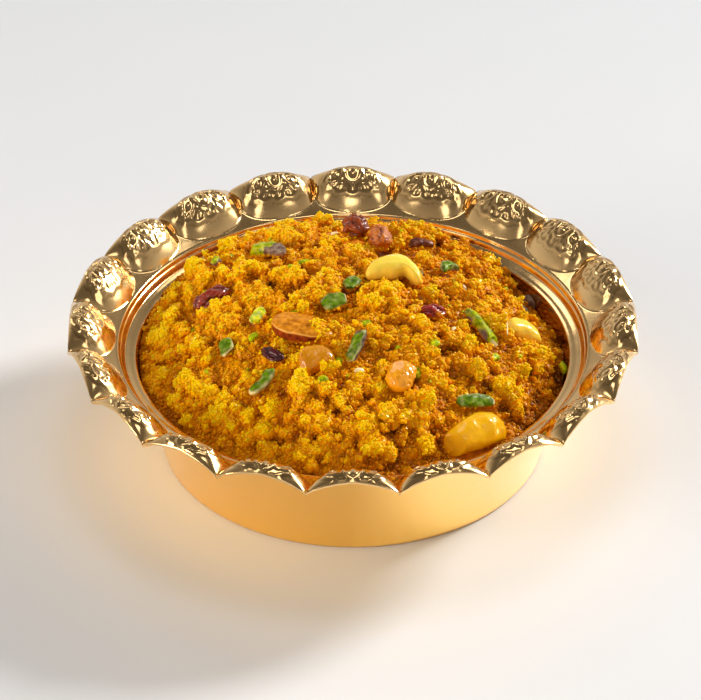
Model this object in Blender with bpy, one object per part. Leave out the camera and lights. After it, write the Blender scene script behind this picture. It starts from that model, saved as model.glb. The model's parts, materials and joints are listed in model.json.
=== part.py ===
"""Moong dal halwa heaped in a scalloped, embossed metal serving bowl, with nuts and raisins.

Blender 4.5, metres, +Z up. The origin is the centre of the bowl's base, on the table.
The bowl is one pressed sheet; the halwa is one crumbly heap that fills it; every cashew,
almond, raisin and pistachio piece lies in its own pocket in the heap.
"""

import math
import random

import bmesh
import bpy
from mathutils import Matrix, Vector, noise
from mathutils.bvhtree import BVHTree

MM = 0.001
SEED = 11
MERGE = 0.000004

# ---------------------------------------------------------------- bowl sizes, in millimetres
LOBES = 20
CUSP_RADIUS = 100.0
CUSP_HEIGHT = 46.0
BASE_RADIUS = 67.6
BASE_ROUND = 1.8
SHEET = 1.3
WALL_TOP_RADIUS = 81.5
WALL_TOP_HEIGHT = 36.5
WALL_FLARE = 1.25
FLOOR_THICKNESS = 1.2

LEDGE_RADIUS = 80.2
LEDGE_HEIGHT = 37.4
BAND_CREASE_RADIUS = 81.9
BAND_CREASE_HEIGHT = 38.5
BAND_RADIUS = 83.4
BAND_HEIGHT = 39.6
LOBE_START_RADIUS = 86.0
LOBE_START_HEIGHT = 40.5

LOBE_END_RADIUS = 92.5
LOBE_CREST = 7.7
LOBE_CREST_RADIUS = 94.0
LOBE_EDGE_CREST = 5.0
LOBE_ARCH_POWER = 0.62
EDGE_SAG = 1.2
EDGE_INSET = 0.3
BASE_TURN_INSET = 0.4
BASE_TURN_HEIGHT = 0.54
BASE_FLAT_INSET = 1.4
CREASE_FOOT_OUT = 0.1
CREASE_FOOT_RISE = 0.4

PETAL_RISE = 0.9
LEAF_RISE = 0.6
MOTIF_RADIUS = 94.2
MOTIF_HALF_LENGTH = 4.2
PETAL_HALF_SHARE = 0.3
LEAF_SHARE = 0.56
LEAF_HALF_SHARE = 0.2

LOBE_COLUMNS = (-1.0, -0.84, -0.56, -0.27, 0.0, 0.27, 0.56, 0.84)
UNDER_COLUMNS = (-1.0, -0.56, 0.0, 0.56)
LOBE_RINGS = (86.0, 87.6, 89.8, 92.2, 94.6, 97.0)
UNDER_RINGS = (94.6, 88.6)
WALL_COLUMNS = 60
WALL_STEPS = (0.0, 0.3, 0.65, 1.0)

# ---------------------------------------------------------------- halwa sizes, in millimetres
HEAP_TOP = 58.0
HEAP_EDGE_HEIGHT = 32.5
HEAP_ROUND = 2.2
HEAP_FULLNESS = 0.9
HEAP_RINGS = 11
HEAP_SPACING = 7.4
HEAP_SIDE_COLUMNS = 48
HEAP_SIDE_STEPS = (0.9, 0.45, 0.0)
HEAP_EDGE_DRAW = 2.4
CLUMP_SPACING = 10.5
CLUMP_RELIEF = 4.2
CLUMP_MIDDLE = 0.5
CLUMP_SHARPNESS = 1.3
BROAD_SPACING = 16.0
BROAD_RELIEF = 1.6
RELIEF_FADE = 0.1
HEAP_WALL_GAP = 0.6
HEAP_FLOOR_GAP = 0.35
HEAP_MAX_RADIUS = 79.0
HEAP_FOOT_INSET = 1.2
HEAP_SLOPE_STEP = 4.0

CRUMB_COUNT = 88
CRUMB_TRIES = 6000
CRUMB_RADII = (3.6, 7.4)
CRUMB_LEAST = 2.4
CRUMB_REACH = 1.2
CRUMB_LIFT = -0.05
CRUMB_SPREAD = 0.85
POCKET_GAP = 0.4

# Toppings, in millimetres and degrees on the heap, seen from above with +X right, +Y away.
# Each row: name, x, y, heading of its long axis, roll, pitch, lift of its middle above the heap.
# cashew rows end with length, width, thickness and bend.
CASHEWS = (
    ("cashew_1", 40.4, -53.4, 36, 12, 0, 1.2, 26.0, 13.5, 11.0, 0.35),
    ("cashew_2", 14.5, 15.0, -4, 22, 0, 1.8, 20.5, 11.0, 9.0, 1.0),
    ("cashew_3", 58.8, 6.0, 8, 0, -12, 0.6, 15.0, 9.5, 8.0, 0.7),
    ("cashew_4", -12.6, -32.6, 20, 0, 6, 0.6, 13.0, 11.0, 8.5, 0.35),
)
# almond row ends with length, width and thickness: half a kernel, cut face up.
ALMONDS = (
    ("almond_half", -17.0, -16.5, -24, -16, 6, 1.6, 22.5, 13.0, 6.5),
)
# raisin rows end with length, width, thickness and number of wrinkles.
RAISINS = (
    ("raisin_1", 1.0, 50.4, -70, 10, 0, 2.6, 13.0, 8.4, 8.4, 5),
    ("raisin_2", 9.6, 41.0, -80, -14, 0, 2.4, 12.5, 8.0, 8.0, 5),
    ("raisin_3", -49.0, 12.6, 22, 8, 0, 1.2, 15.0, 8.0, 6.5, 4),
    ("raisin_4", 27.6, -4.0, 18, 0, 0, 0.8, 9.5, 5.5, 5.0, 4),
    ("raisin_5", -27.4, -27.2, -42, 0, 0, 0.4, 10.0, 6.0, 5.0, 4),
    ("raisin_6", 16.0, -39.4, 80, -10, 0, 1.6, 12.5, 9.5, 7.5, 5),
)
# pistachio rows end with length, width, thickness and bend.
PISTACHIOS = (
    ("pistachio_1", 44.2, -5.0, -50, -18, 0, 1.1, 18.5, 5.6, 3.8, 0.25),
    ("pistachio_2", 41.2, -41.0, 16, 20, 0, 1.0, 15.5, 4.4, 3.2, 0.15),
    ("pistachio_3", 0.8, -28.0, -112, 34, 24, 1.8, 14.0, 4.8, 2.8, 0.1),
    ("pistachio_4", -6.2, -3.8, 30, 24, 0, 0.7, 10.5, 6.0, 2.4, 0.1),
    ("pistachio_5", -30.6, 37.4, -28, 10, 0, 1.2, 15.5, 5.4, 4.2, 0.35),
    ("pistachio_6", -31.2, -37.6, -132, 14, 0, 0.9, 13.0, 4.0, 2.6, 0.5),
    ("pistachio_7", 24.2, 42.6, 28, 26, 0, 0.9, 10.5, 3.6, 3.0, 0.35),
    ("pistachio_8", 34.2, 29.2, 42, 12, 0, 0.9, 9.0, 3.6, 2.8, 0.5),
    ("pistachio_9", -32.4, -5.8, 62, 16, 0, 0.8, 8.2, 4.2, 2.6, 0.1),
    ("pistachio_10", -43.6, -17.6, -80, 18, 0, 0.7, 8.2, 5.2, 2.8, 0.1),
    ("pistachio_11", -0.2, 8.0, 52, 30, 0, 0.8, 7.6, 4.6, 2.6, 0.1),
)
# Chopped pistachio fused to the heap: x, y, heading, length, width.
CHOPPED = (
    (48.4, -17.6, 40, 7.0, 2.6),
    (-53.4, 38.6, 10, 4.0, 2.6),
    (-47.4, 36.4, 60, 4.2, 3.2),
    (-22.2, 52.6, 70, 4.4, 2.8),
    (-17.2, 24.8, 8, 4.4, 2.4),
    (-33.8, -17.0, 40, 4.2, 2.2),
    (4.6, -15.4, 30, 4.4, 2.2),
    (-9.8, -43.6, 20, 3.6, 2.8),
    (21.6, -35.8, -50, 4.2, 3.2),
    (27.6, -23.4, 40, 3.8, 2.8),
    (61.5, 31.0, 20, 6.0, 2.6),
    (69.0, -6.5, -40, 4.6, 3.0),
    (24.6, 27.6, -70, 3.0, 2.0),
    (38.8, 14.8, -72, 6.0, 1.8),
)
CHOPPED_SINK = 0.25

# How blunt each kind's ends are: the least share of its full width and height there.
CASHEW_BLUNT = 0.42
ALMOND_BLUNT = 0.3
RAISIN_BLUNT = 0.5
SLIVER_BLUNT = 0.45

COLOURS = {
    "brass": ((0.72, 0.52, 0.27), 0.18, 1.0),
    "halwa": ((0.83, 0.47, 0.02), 0.45, 0.0),
    "cashew": ((0.91, 0.66, 0.16), 0.35, 0.0),
    "almond": ((0.86, 0.45, 0.12), 0.4, 0.0),
    "raisin": ((0.25, 0.04, 0.02), 0.25, 0.0),
    "pistachio": ((0.24, 0.42, 0.05), 0.45, 0.0),
}


# ---------------------------------------------------------------- shared helpers
def clear_scene():
    for item in list(bpy.data.objects):
        bpy.data.objects.remove(item, do_unlink=True)


def new_collection(name):
    collection = bpy.data.collections.new(name)
    bpy.context.scene.collection.children.link(collection)
    return collection


def principled(name):
    """The part's own finish: colour, roughness and metallic value of one of the foods or the metal."""
    colour, roughness, metallic = COLOURS[name]
    material = bpy.data.materials.new(name)
    material.use_nodes = True
    shader = material.node_tree.nodes["Principled BSDF"]
    shader.inputs["Base Color"].default_value = (*colour, 1.0)
    shader.inputs["Roughness"].default_value = roughness
    shader.inputs["Metallic"].default_value = metallic
    return material


def zip_rings(bm, upper, lower):
    """Joins two closed rings of (angle, vertex), of equal or unlike counts, with triangles."""
    count_a, count_b = len(upper), len(lower)
    a = b = 0
    while a < count_a or b < count_b:
        next_a = upper[(a + 1) % count_a][0] + (math.tau if a + 1 >= count_a else 0.0)
        next_b = lower[(b + 1) % count_b][0] + (math.tau if b + 1 >= count_b else 0.0)
        corner_a = upper[a % count_a][1]
        corner_b = lower[b % count_b][1]
        if b >= count_b or (a < count_a and next_a <= next_b):
            bm.faces.new((corner_a, upper[(a + 1) % count_a][1], corner_b))
            a += 1
        else:
            bm.faces.new((corner_a, lower[(b + 1) % count_b][1], corner_b))
            b += 1


def close_ring(bm, ring, point):
    """Closes a ring with a fan of triangles round one point."""
    centre = bm.verts.new(point)
    for index, (_, corner) in enumerate(ring):
        bm.faces.new((corner, ring[(index + 1) % len(ring)][1], centre))


def loft(bm, rings, first_point, last_point):
    """A closed solid through rings of (angle, point), closed at both ends by a fan."""
    made = []
    for ring in rings:
        made.append([(angle, bm.verts.new(point)) for angle, point in ring])
    for upper, lower in zip(made, made[1:]):
        zip_rings(bm, upper, lower)
    close_ring(bm, made[0], first_point)
    close_ring(bm, made[-1], last_point)
    bmesh.ops.recalc_face_normals(bm, faces=bm.faces)


def to_object(bm, name, collection, material, smooth_angle=None):
    """Turns millimetres into metres and hands the mesh over as a named object."""
    bmesh.ops.transform(bm, matrix=Matrix.Scale(MM, 4), verts=bm.verts)
    mesh = bpy.data.meshes.new(name)
    bm.to_mesh(mesh)
    bm.free()
    if material:
        mesh.materials.append(material)
    if smooth_angle:
        mesh.shade_smooth()
        mesh.set_sharp_from_angle(angle=math.radians(smooth_angle))
    item = bpy.data.objects.new(name, mesh)
    collection.objects.link(item)
    return item


# ---------------------------------------------------------------- bowl
def wall_outside(height):
    """Outside radius of the body at a height: steep near the base, flaring to the rim."""
    rise = max(0.0, height - BASE_ROUND) / (WALL_TOP_HEIGHT - BASE_ROUND)
    return BASE_RADIUS + (WALL_TOP_RADIUS - BASE_RADIUS) * rise ** WALL_FLARE


def wall_inside(height):
    return min(wall_outside(height) - SHEET, LEDGE_RADIUS)


def valley_height(radius):
    """Height of the sharp crease between two lobes, from the flat band out to the cusp."""
    share = (radius - LOBE_START_RADIUS) / (CUSP_RADIUS - LOBE_START_RADIUS)
    return LOBE_START_HEIGHT + (CUSP_HEIGHT - LOBE_START_HEIGHT) * share


def crest_rise(radius):
    """How far a lobe's middle line stands above the creases beside it."""
    if radius <= LOBE_CREST_RADIUS:
        return LOBE_CREST
    edge = edge_radius(0.0)
    share = (radius - LOBE_CREST_RADIUS) / (edge - LOBE_CREST_RADIUS)
    return LOBE_CREST - (LOBE_CREST - LOBE_EDGE_CREST) * share ** 2


def emboss(across, radius):
    """The pressed flower: a pointed middle petal with a smaller leaf at each side."""
    along = (radius - MOTIF_RADIUS) / MOTIF_HALF_LENGTH
    petal = PETAL_RISE * max(0.0, 1.0 - (across / PETAL_HALF_SHARE) ** 2 - along ** 2)
    sideways = (abs(across) - LEAF_SHARE) / LEAF_HALF_SHARE
    leaf = LEAF_RISE * max(0.0, 1.0 - sideways ** 2 - along ** 2)
    return petal + leaf


def lobe_height(across, radius):
    """Top of the rim: across runs from -1 to 1 between the two creases of a lobe."""
    inner = max(0.0, LOBE_END_RADIUS - radius) / (LOBE_END_RADIUS - LOBE_START_RADIUS)
    reach = 1.0 - across ** 2 - inner ** 2
    if reach <= 0.0:
        return valley_height(radius)
    dome = crest_rise(radius) * reach ** LOBE_ARCH_POWER
    return valley_height(radius) + dome + emboss(across, radius) * min(1.0, reach * 4.0)


def edge_radius(across):
    """Plan of the rim's edge: it draws in a little between two cusps."""
    return CUSP_RADIUS - EDGE_SAG * (1.0 - across ** 2)


def lobe_angles(columns):
    """Angles round the whole rim; lobes are centred on +X, so cusps lie between them."""
    half = math.pi / LOBES
    angles = []
    for lobe in range(LOBES):
        for across in columns:
            angles.append((2.0 * half * lobe + half * (across + 1.0), across))
    return angles


def polar(radius, angle, height):
    turned = angle - math.pi / LOBES
    return Vector((radius * math.cos(turned), radius * math.sin(turned), height))


def plain_ring(radius, height, count=WALL_COLUMNS):
    angles = [math.tau * index / count for index in range(count)]
    return [(angle, polar(radius, angle, height)) for angle in angles]


def lobe_ring(radius, columns, drop=0.0):
    ring = []
    for angle, across in lobe_angles(columns):
        ring.append((angle, polar(radius, angle, lobe_height(across, radius) - drop)))
    return ring


def edge_ring(columns, drop, inset=0.0):
    ring = []
    for angle, across in lobe_angles(columns):
        radius = edge_radius(across)
        height = lobe_height(across, radius) - drop
        ring.append((angle, polar(radius - inset, angle, height)))
    return ring


def wall_heights():
    span = WALL_TOP_HEIGHT - BASE_ROUND
    return [BASE_ROUND + span * step for step in WALL_STEPS]


def bowl_rings():
    """Every ring of the bowl, from the middle of the inside floor, over the rim, to the base."""
    rings = [plain_ring(wall_inside(BASE_ROUND) - 1.0, FLOOR_THICKNESS)]
    for height in wall_heights():
        rings.append(plain_ring(wall_inside(height), height))
    rings.append(plain_ring(LEDGE_RADIUS + CREASE_FOOT_OUT, LEDGE_HEIGHT + CREASE_FOOT_RISE))
    rings.append(plain_ring(BAND_CREASE_RADIUS, BAND_CREASE_HEIGHT))
    rings.append(plain_ring(BAND_RADIUS, BAND_HEIGHT))
    for radius in LOBE_RINGS:
        rings.append(lobe_ring(radius, LOBE_COLUMNS))
    rings.append(edge_ring(LOBE_COLUMNS, 0.0))
    rings.append(edge_ring(UNDER_COLUMNS, SHEET, inset=EDGE_INSET))
    for radius in UNDER_RINGS:
        rings.append(lobe_ring(radius, UNDER_COLUMNS, drop=SHEET))
    rings.append(plain_ring(BAND_RADIUS + 1.0, BAND_HEIGHT - SHEET))
    for height in reversed(wall_heights()):
        rings.append(plain_ring(wall_outside(height), height))
    rings.append(plain_ring(BASE_RADIUS - BASE_TURN_INSET, BASE_TURN_HEIGHT))
    rings.append(plain_ring(BASE_RADIUS - BASE_FLAT_INSET, 0.0))
    return rings


def make_bowl(collection):
    bm = bmesh.new()
    loft(bm, bowl_rings(), Vector((0.0, 0.0, FLOOR_THICKNESS)), Vector((0.0, 0.0, 0.0)))
    return to_object(bm, "bowl", collection, principled("brass"), smooth_angle=40)


# ---------------------------------------------------------------- halwa: the bare heap
def heap_edge(angle):
    """Height at which the heap meets the wall: high at the back, low at both sides."""
    off_hollow = (math.degrees(angle) - 25.0 + 180.0) % 360.0 - 180.0
    hollow = 4.0 * math.exp(-(off_hollow / 22.0) ** 2)
    swing = 5.0 * math.sin(angle) - 4.5 * math.cos(2.0 * angle) - 2.0 * math.cos(angle)
    return HEAP_EDGE_HEIGHT + swing - hollow


def heap_radius(angle):
    """Plan of the heap's edge: against the wall here, drawn in a little from it there."""
    around = Vector((math.cos(angle), math.sin(angle), 0.0)) * 4.0
    drawn = HEAP_EDGE_DRAW * max(0.0, noise.noise(around))
    return min(wall_inside(heap_edge(angle)) - HEAP_WALL_GAP, HEAP_MAX_RADIUS) - drawn


def heap_share(x, y):
    """0 in the middle of the heap, 1 at its edge."""
    return min(math.hypot(x, y) / heap_radius(math.atan2(y, x)), 1.0)


def dome_height(x, y):
    """The smooth heap: a full dome that falls faster near the wall."""
    edge = heap_edge(math.atan2(y, x))
    return edge + (HEAP_TOP - edge) * (1.0 - heap_share(x, y) ** HEAP_ROUND) ** HEAP_FULLNESS


def dome_normal(x, y):
    step = HEAP_SLOPE_STEP
    slope_x = (dome_height(x + step, y) - dome_height(x - step, y)) / (2.0 * step)
    slope_y = (dome_height(x, y + step) - dome_height(x, y - step)) / (2.0 * step)
    return Vector((-slope_x, -slope_y, 1.0)).normalized()


def heap_height(x, y):
    """Top of the bare heap: the dome with its rounded clumps, which fade out at the wall."""
    nearest = noise.voronoi(Vector((x, y, 0.0)) / CLUMP_SPACING)[0][0]
    clump = CLUMP_RELIEF * (CLUMP_MIDDLE - min(1.0, CLUMP_SHARPNESS * nearest) ** 2)
    broad = BROAD_RELIEF * noise.noise(Vector((x, y, 0.0)) / BROAD_SPACING)
    fade = min(1.0, (1.0 - heap_share(x, y)) / RELIEF_FADE)
    return dome_height(x, y) + (clump + broad) * fade


def heap_top_ring(share):
    count = max(6, round(math.tau * HEAP_MAX_RADIUS * share / HEAP_SPACING))
    ring = []
    for index in range(count):
        angle = math.tau * index / count
        radius = heap_radius(angle) * share
        x = radius * math.cos(angle)
        y = radius * math.sin(angle)
        ring.append((angle, Vector((x, y, heap_height(x, y)))))
    return ring


def heap_side_ring(step):
    """A ring of the hidden side, a small gap inside the wall of the bowl."""
    bottom = FLOOR_THICKNESS + HEAP_FLOOR_GAP
    ring = []
    for index in range(HEAP_SIDE_COLUMNS):
        angle = math.tau * index / HEAP_SIDE_COLUMNS
        height = bottom + (heap_edge(angle) - bottom) * step
        radius = min(wall_inside(max(height, BASE_ROUND)) - HEAP_WALL_GAP, HEAP_MAX_RADIUS)
        if step == 0.0:
            radius -= HEAP_FOOT_INSET
        ring.append((angle, Vector((radius * math.cos(angle), radius * math.sin(angle), height))))
    return ring


def make_core(collection):
    rings = [heap_top_ring((index + 1) / HEAP_RINGS) for index in range(HEAP_RINGS)]
    rings += [heap_side_ring(step) for step in HEAP_SIDE_STEPS]
    bottom = FLOOR_THICKNESS + HEAP_FLOOR_GAP
    bm = bmesh.new()
    loft(bm, rings, Vector((0.0, 0.0, heap_height(0.0, 0.0))), Vector((0.0, 0.0, bottom)))
    return to_object(bm, "halwa", collection, principled("halwa"))


# ---------------------------------------------------------------- toppings
def seat(row):
    """Where a topping lies: on the heap, square to its surface, turned, rolled and pitched."""
    _, x, y, heading, roll, pitch, lift = row[:7]
    normal = dome_normal(x, y)
    along = Vector((math.cos(math.radians(heading)), math.sin(math.radians(heading)), 0.0))
    along = (along - normal * along.dot(normal)).normalized()
    side = normal.cross(along)
    frame = Matrix((along, side, normal)).transposed().to_4x4()
    place = Vector((x, y, dome_height(x, y))) + normal * lift
    turn = Matrix.Rotation(math.radians(pitch), 4, "Y") @ Matrix.Rotation(math.radians(roll), 4, "X")
    return Matrix.Translation(place) @ frame @ turn


def spine_rings(stations, sides, section):
    """Rings square to X; each station is (x, y, half width, half height)."""
    rings = []
    for x, y, half_width, half_height in stations:
        ring = []
        for index in range(sides):
            angle = math.tau * index / sides
            across, up = section(angle)
            ring.append((angle, Vector((x, y + half_width * across, half_height * up))))
        rings.append(ring)
    return rings


def oval(angle):
    return math.cos(angle), math.sin(angle)


def flat_topped(angle):
    """Half of a kernel: round below, nearly flat on the cut face above."""
    return math.cos(angle), math.sin(angle) if math.sin(angle) < 0.0 else 0.25 * math.sin(angle)


def chipped(angle):
    """A sliver cut with a knife: squarish, with one bevelled side."""
    across = math.copysign(abs(math.cos(angle)) ** 0.6, math.cos(angle))
    up = math.copysign(abs(math.sin(angle)) ** 0.6, math.sin(angle))
    return across, up * (1.0 - 0.25 * across)


def spine_body(bm, stations, sides, section, tip):
    """A body lofted along X with a short tip at each end."""
    first, last = stations[0], stations[-1]
    start = Vector((first[0] - tip, first[1], 0.0))
    end = Vector((last[0] + tip, last[1], 0.0))
    loft(bm, spine_rings(stations, sides, section), start, end)


def cashew_stations(length, width, thickness, bend, count=7):
    """A bean: a curved spine, a thick head at one end and a slimmer tail."""
    stations = []
    for index in range(count):
        share = index / (count - 1)
        x = (share - 0.5) * length * 0.9
        curve = bend * width * 0.45 * (1.0 - (2.0 * share - 1.0) ** 2) - bend * width * 0.2
        full = (1.0 - abs(2.0 * share - 1.0) ** 3.2) ** 0.5
        full = max(full, CASHEW_BLUNT) * (1.08 - 0.26 * share)
        stations.append((x, curve, 0.5 * width * full, 0.5 * thickness * full))
    return stations


def almond_stations(length, width, thickness, count=7):
    """A tear drop: broad and round at one end, pointed at the other."""
    stations = []
    for index in range(count):
        share = index / (count - 1)
        x = (share - 0.5) * length * 0.94
        full = (1.0 - abs(2.0 * share - 1.0) ** 2.4) ** 0.6
        full = max(full, ALMOND_BLUNT) * (1.12 - 0.34 * share)
        stations.append((x, 0.0, 0.5 * width * full, thickness * full * 0.85))
    return stations


def raisin_stations(length, width, thickness, wrinkles, count=6):
    """A shrivelled oval whose waist goes in and out along its length."""
    stations = []
    for index in range(count):
        share = index / (count - 1)
        x = (share - 0.5) * length * 0.86
        full = max((1.0 - abs(2.0 * share - 1.0) ** 2.6) ** 0.5, RAISIN_BLUNT)
        full *= 1.0 + 0.07 * math.sin(share * wrinkles * math.pi)
        stations.append((x, 0.0, 0.5 * width * full, 0.5 * thickness * full))
    return stations


def sliver_stations(length, width, thickness, bend, count=5):
    stations = []
    for index in range(count):
        share = index / (count - 1)
        x = (share - 0.5) * length * 0.9
        curve = bend * width * (1.0 - (2.0 * share - 1.0) ** 2)
        full = max((1.0 - abs(2.0 * share - 1.0) ** 2.2) ** 0.5, SLIVER_BLUNT)
        stations.append((x, curve, 0.5 * width * full, 0.5 * thickness * full))
    return stations


def wrinkled(wrinkles):
    def section(angle):
        depth = 1.0 + 0.09 * math.cos(wrinkles * angle)
        return math.cos(angle) * depth, math.sin(angle) * depth
    return section


def topping_mesh(row, kind):
    """One topping in its own frame: X along it, Z out of the heap."""
    bm = bmesh.new()
    size = row[7:]
    if kind == "cashew":
        spine_body(bm, cashew_stations(*size), 10, oval, size[0] * 0.05)
    elif kind == "almond":
        spine_body(bm, almond_stations(*size), 10, flat_topped, size[0] * 0.03)
    elif kind == "raisin":
        spine_body(bm, raisin_stations(*size), 10, wrinkled(size[3]), size[0] * 0.07)
    else:
        spine_body(bm, sliver_stations(*size), 6, chipped, size[0] * 0.05)
    bmesh.ops.transform(bm, matrix=seat(row), verts=bm.verts)
    return bm


def make_toppings(collection):
    """Every nut and raisin as its own object; returns them in order."""
    made = []
    for kind, rows in (("cashew", CASHEWS), ("almond", ALMONDS), ("raisin", RAISINS),
                       ("pistachio", PISTACHIOS)):
        material = principled(kind)
        for row in rows:
            made.append(to_object(topping_mesh(row, kind), row[0], collection, material, 50))
    return made


# ---------------------------------------------------------------- halwa: pockets and clumps
def pocket_cutter(item, cutters):
    """The hull of a topping, a small gap larger all round: it cuts the pocket the topping lies in."""
    bm = bmesh.new()
    for corner in item.data.vertices:
        bm.verts.new(corner.co)
    hull = bmesh.ops.convex_hull(bm, input=bm.verts)
    inner = {part for part in hull["geom_interior"] + hull["geom_unused"]}
    loose = [part for part in inner if isinstance(part, bmesh.types.BMVert)]
    bmesh.ops.delete(bm, geom=loose, context="VERTS")
    bmesh.ops.recalc_face_normals(bm, faces=bm.faces)
    bm.normal_update()
    moves = [(corner, corner.normal * POCKET_GAP * MM) for corner in bm.verts]
    for corner, move in moves:
        corner.co += move
    mesh = bpy.data.meshes.new(item.name + "_pocket")
    bm.to_mesh(mesh)
    bm.free()
    cutter = bpy.data.objects.new(mesh.name, mesh)
    cutter.hide_render = True
    cutter.display_type = "WIRE"
    cutters.objects.link(cutter)
    return cutter


def tree_of(items):
    """One search tree over several objects' surfaces, in metres."""
    corners = []
    faces = []
    for item in items:
        start = len(corners)
        corners += [corner.co.copy() for corner in item.data.vertices]
        faces += [tuple(start + index for index in face.vertices) for face in item.data.polygons]
    return BVHTree.FromPolygons(corners, faces)


def crumb(radius, chance):
    """A broken clump of halwa: a rounded lump with knocked-in corners."""
    bm = bmesh.new()
    bmesh.ops.create_icosphere(bm, subdivisions=1, radius=radius)
    squash = Vector((chance.uniform(0.85, 1.15), chance.uniform(0.8, 1.05), chance.uniform(0.7, 0.95)))
    for corner in bm.verts:
        corner.co *= chance.uniform(0.8, 1.14)
        corner.co = Vector(a * b for a, b in zip(corner.co, squash))
    bmesh.ops.rotate(bm, cent=Vector(), matrix=Matrix.Rotation(chance.uniform(0.0, math.tau), 3, "Z"),
                     verts=bm.verts)
    return bm


def room_to_wall(place):
    """Largest clump that still clears the wall of the bowl at a place."""
    wall = wall_inside(max(place.z, BASE_ROUND)) - HEAP_WALL_GAP
    return (wall - math.hypot(place.x, place.y)) / CRUMB_REACH


def crumb_places(toppings, chance):
    """Scattered, seeded places for clumps, clear of the toppings, the bowl and each other."""
    tree = tree_of(toppings)
    places = []
    for _ in range(CRUMB_TRIES):
        if len(places) == CRUMB_COUNT:
            break
        angle = chance.uniform(0.0, math.tau)
        out = heap_radius(angle) * math.sqrt(chance.random())
        radius = chance.uniform(*CRUMB_RADII)
        x = out * math.cos(angle)
        y = out * math.sin(angle)
        place = Vector((x, y, heap_height(x, y))) + dome_normal(x, y) * radius * CRUMB_LIFT
        radius = min(radius, room_to_wall(place))
        near = tree.find_nearest(place * MM)[3]
        if radius < CRUMB_LEAST or near < (radius * CRUMB_REACH + POCKET_GAP) * MM:
            continue
        if any((place - other).length < (radius + size) * CRUMB_SPREAD for other, size in places):
            continue
        places.append((place, radius))
    return places


def add_crumbs(additions, toppings):
    chance = random.Random(SEED)
    for index, (place, radius) in enumerate(crumb_places(toppings, chance)):
        bm = crumb(radius, chance)
        bmesh.ops.translate(bm, vec=place, verts=bm.verts)
        to_object(bm, f"crumb_{index}", additions, None)


def add_chopped(additions):
    """Small chopped pistachio, fused to the heap where it shows."""
    for index, (x, y, heading, length, width) in enumerate(CHOPPED):
        bm = bmesh.new()
        spine_body(bm, sliver_stations(length, width, width * 0.8, 0.1, 3), 5, chipped, length * 0.08)
        row = ("chopped", x, y, heading, 10, 0, width * CHOPPED_SINK)
        bmesh.ops.transform(bm, matrix=seat(row), verts=bm.verts)
        to_object(bm, f"chopped_{index}", additions, None)


def apply_boolean(item, collection, operation):
    """Applies one Boolean on a collection, then removes the collection's objects."""
    cut = item.modifiers.new(operation.lower(), "BOOLEAN")
    cut.operation = operation
    cut.operand_type = "COLLECTION"
    cut.collection = collection
    cut.solver = "EXACT"
    graph = bpy.context.evaluated_depsgraph_get()
    mesh = bpy.data.meshes.new_from_object(item.evaluated_get(graph))
    item.modifiers.clear()
    item.data = mesh
    for used in list(collection.objects):
        bpy.data.objects.remove(used, do_unlink=True)


def tidy_surface(item):
    """Merges slivers, and drops any loose scrap that is not part of the heap itself."""
    bm = bmesh.new()
    bm.from_mesh(item.data)
    bmesh.ops.triangulate(bm, faces=bm.faces)
    bmesh.ops.remove_doubles(bm, verts=bm.verts, dist=MERGE)
    bmesh.ops.dissolve_degenerate(bm, edges=bm.edges, dist=MERGE)
    bmesh.ops.triangulate(bm, faces=bm.faces)
    islands = []
    seen = set()
    for start in bm.faces:
        if start in seen:
            continue
        island = [start]
        seen.add(start)
        for face in island:
            for edge in face.edges:
                for other in edge.link_faces:
                    if other not in seen:
                        seen.add(other)
                        island.append(other)
        islands.append(island)
    largest = max(islands, key=len)
    scraps = [face for island in islands if island is not largest for face in island]
    bmesh.ops.delete(bm, geom=scraps, context="FACES")
    loose = [corner for corner in bm.verts if not corner.link_faces]
    bmesh.ops.delete(bm, geom=loose, context="VERTS")
    bmesh.ops.recalc_face_normals(bm, faces=bm.faces)
    bm.to_mesh(item.data)
    bm.free()


def make_halwa(collection, cutters, toppings):
    core = make_core(collection)
    pockets = new_collection("pockets")
    for item in toppings:
        pocket_cutter(item, pockets)
    apply_boolean(core, pockets, "DIFFERENCE")
    add_crumbs(cutters, toppings)
    add_chopped(cutters)
    apply_boolean(core, cutters, "UNION")
    tidy_surface(core)
    bpy.data.collections.remove(pockets)
    return core


def main():
    clear_scene()
    parts = new_collection("moong_dal_halwa")
    additions = new_collection("additions")
    make_bowl(parts)
    toppings = make_toppings(parts)
    make_halwa(parts, additions, toppings)
    bpy.data.collections.remove(additions)


main()
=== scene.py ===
"""The looks of a bowl of moong dal halwa, laid out as an add-on and run as a script.

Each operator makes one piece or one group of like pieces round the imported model: the pressed
metal bowl, the crumbly heap and its loose grains, the nuts, the raisins, the chopped pistachio
and the stage. Lengths inside the functions are millimetres; meshes are handed over in metres.
"""

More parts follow.
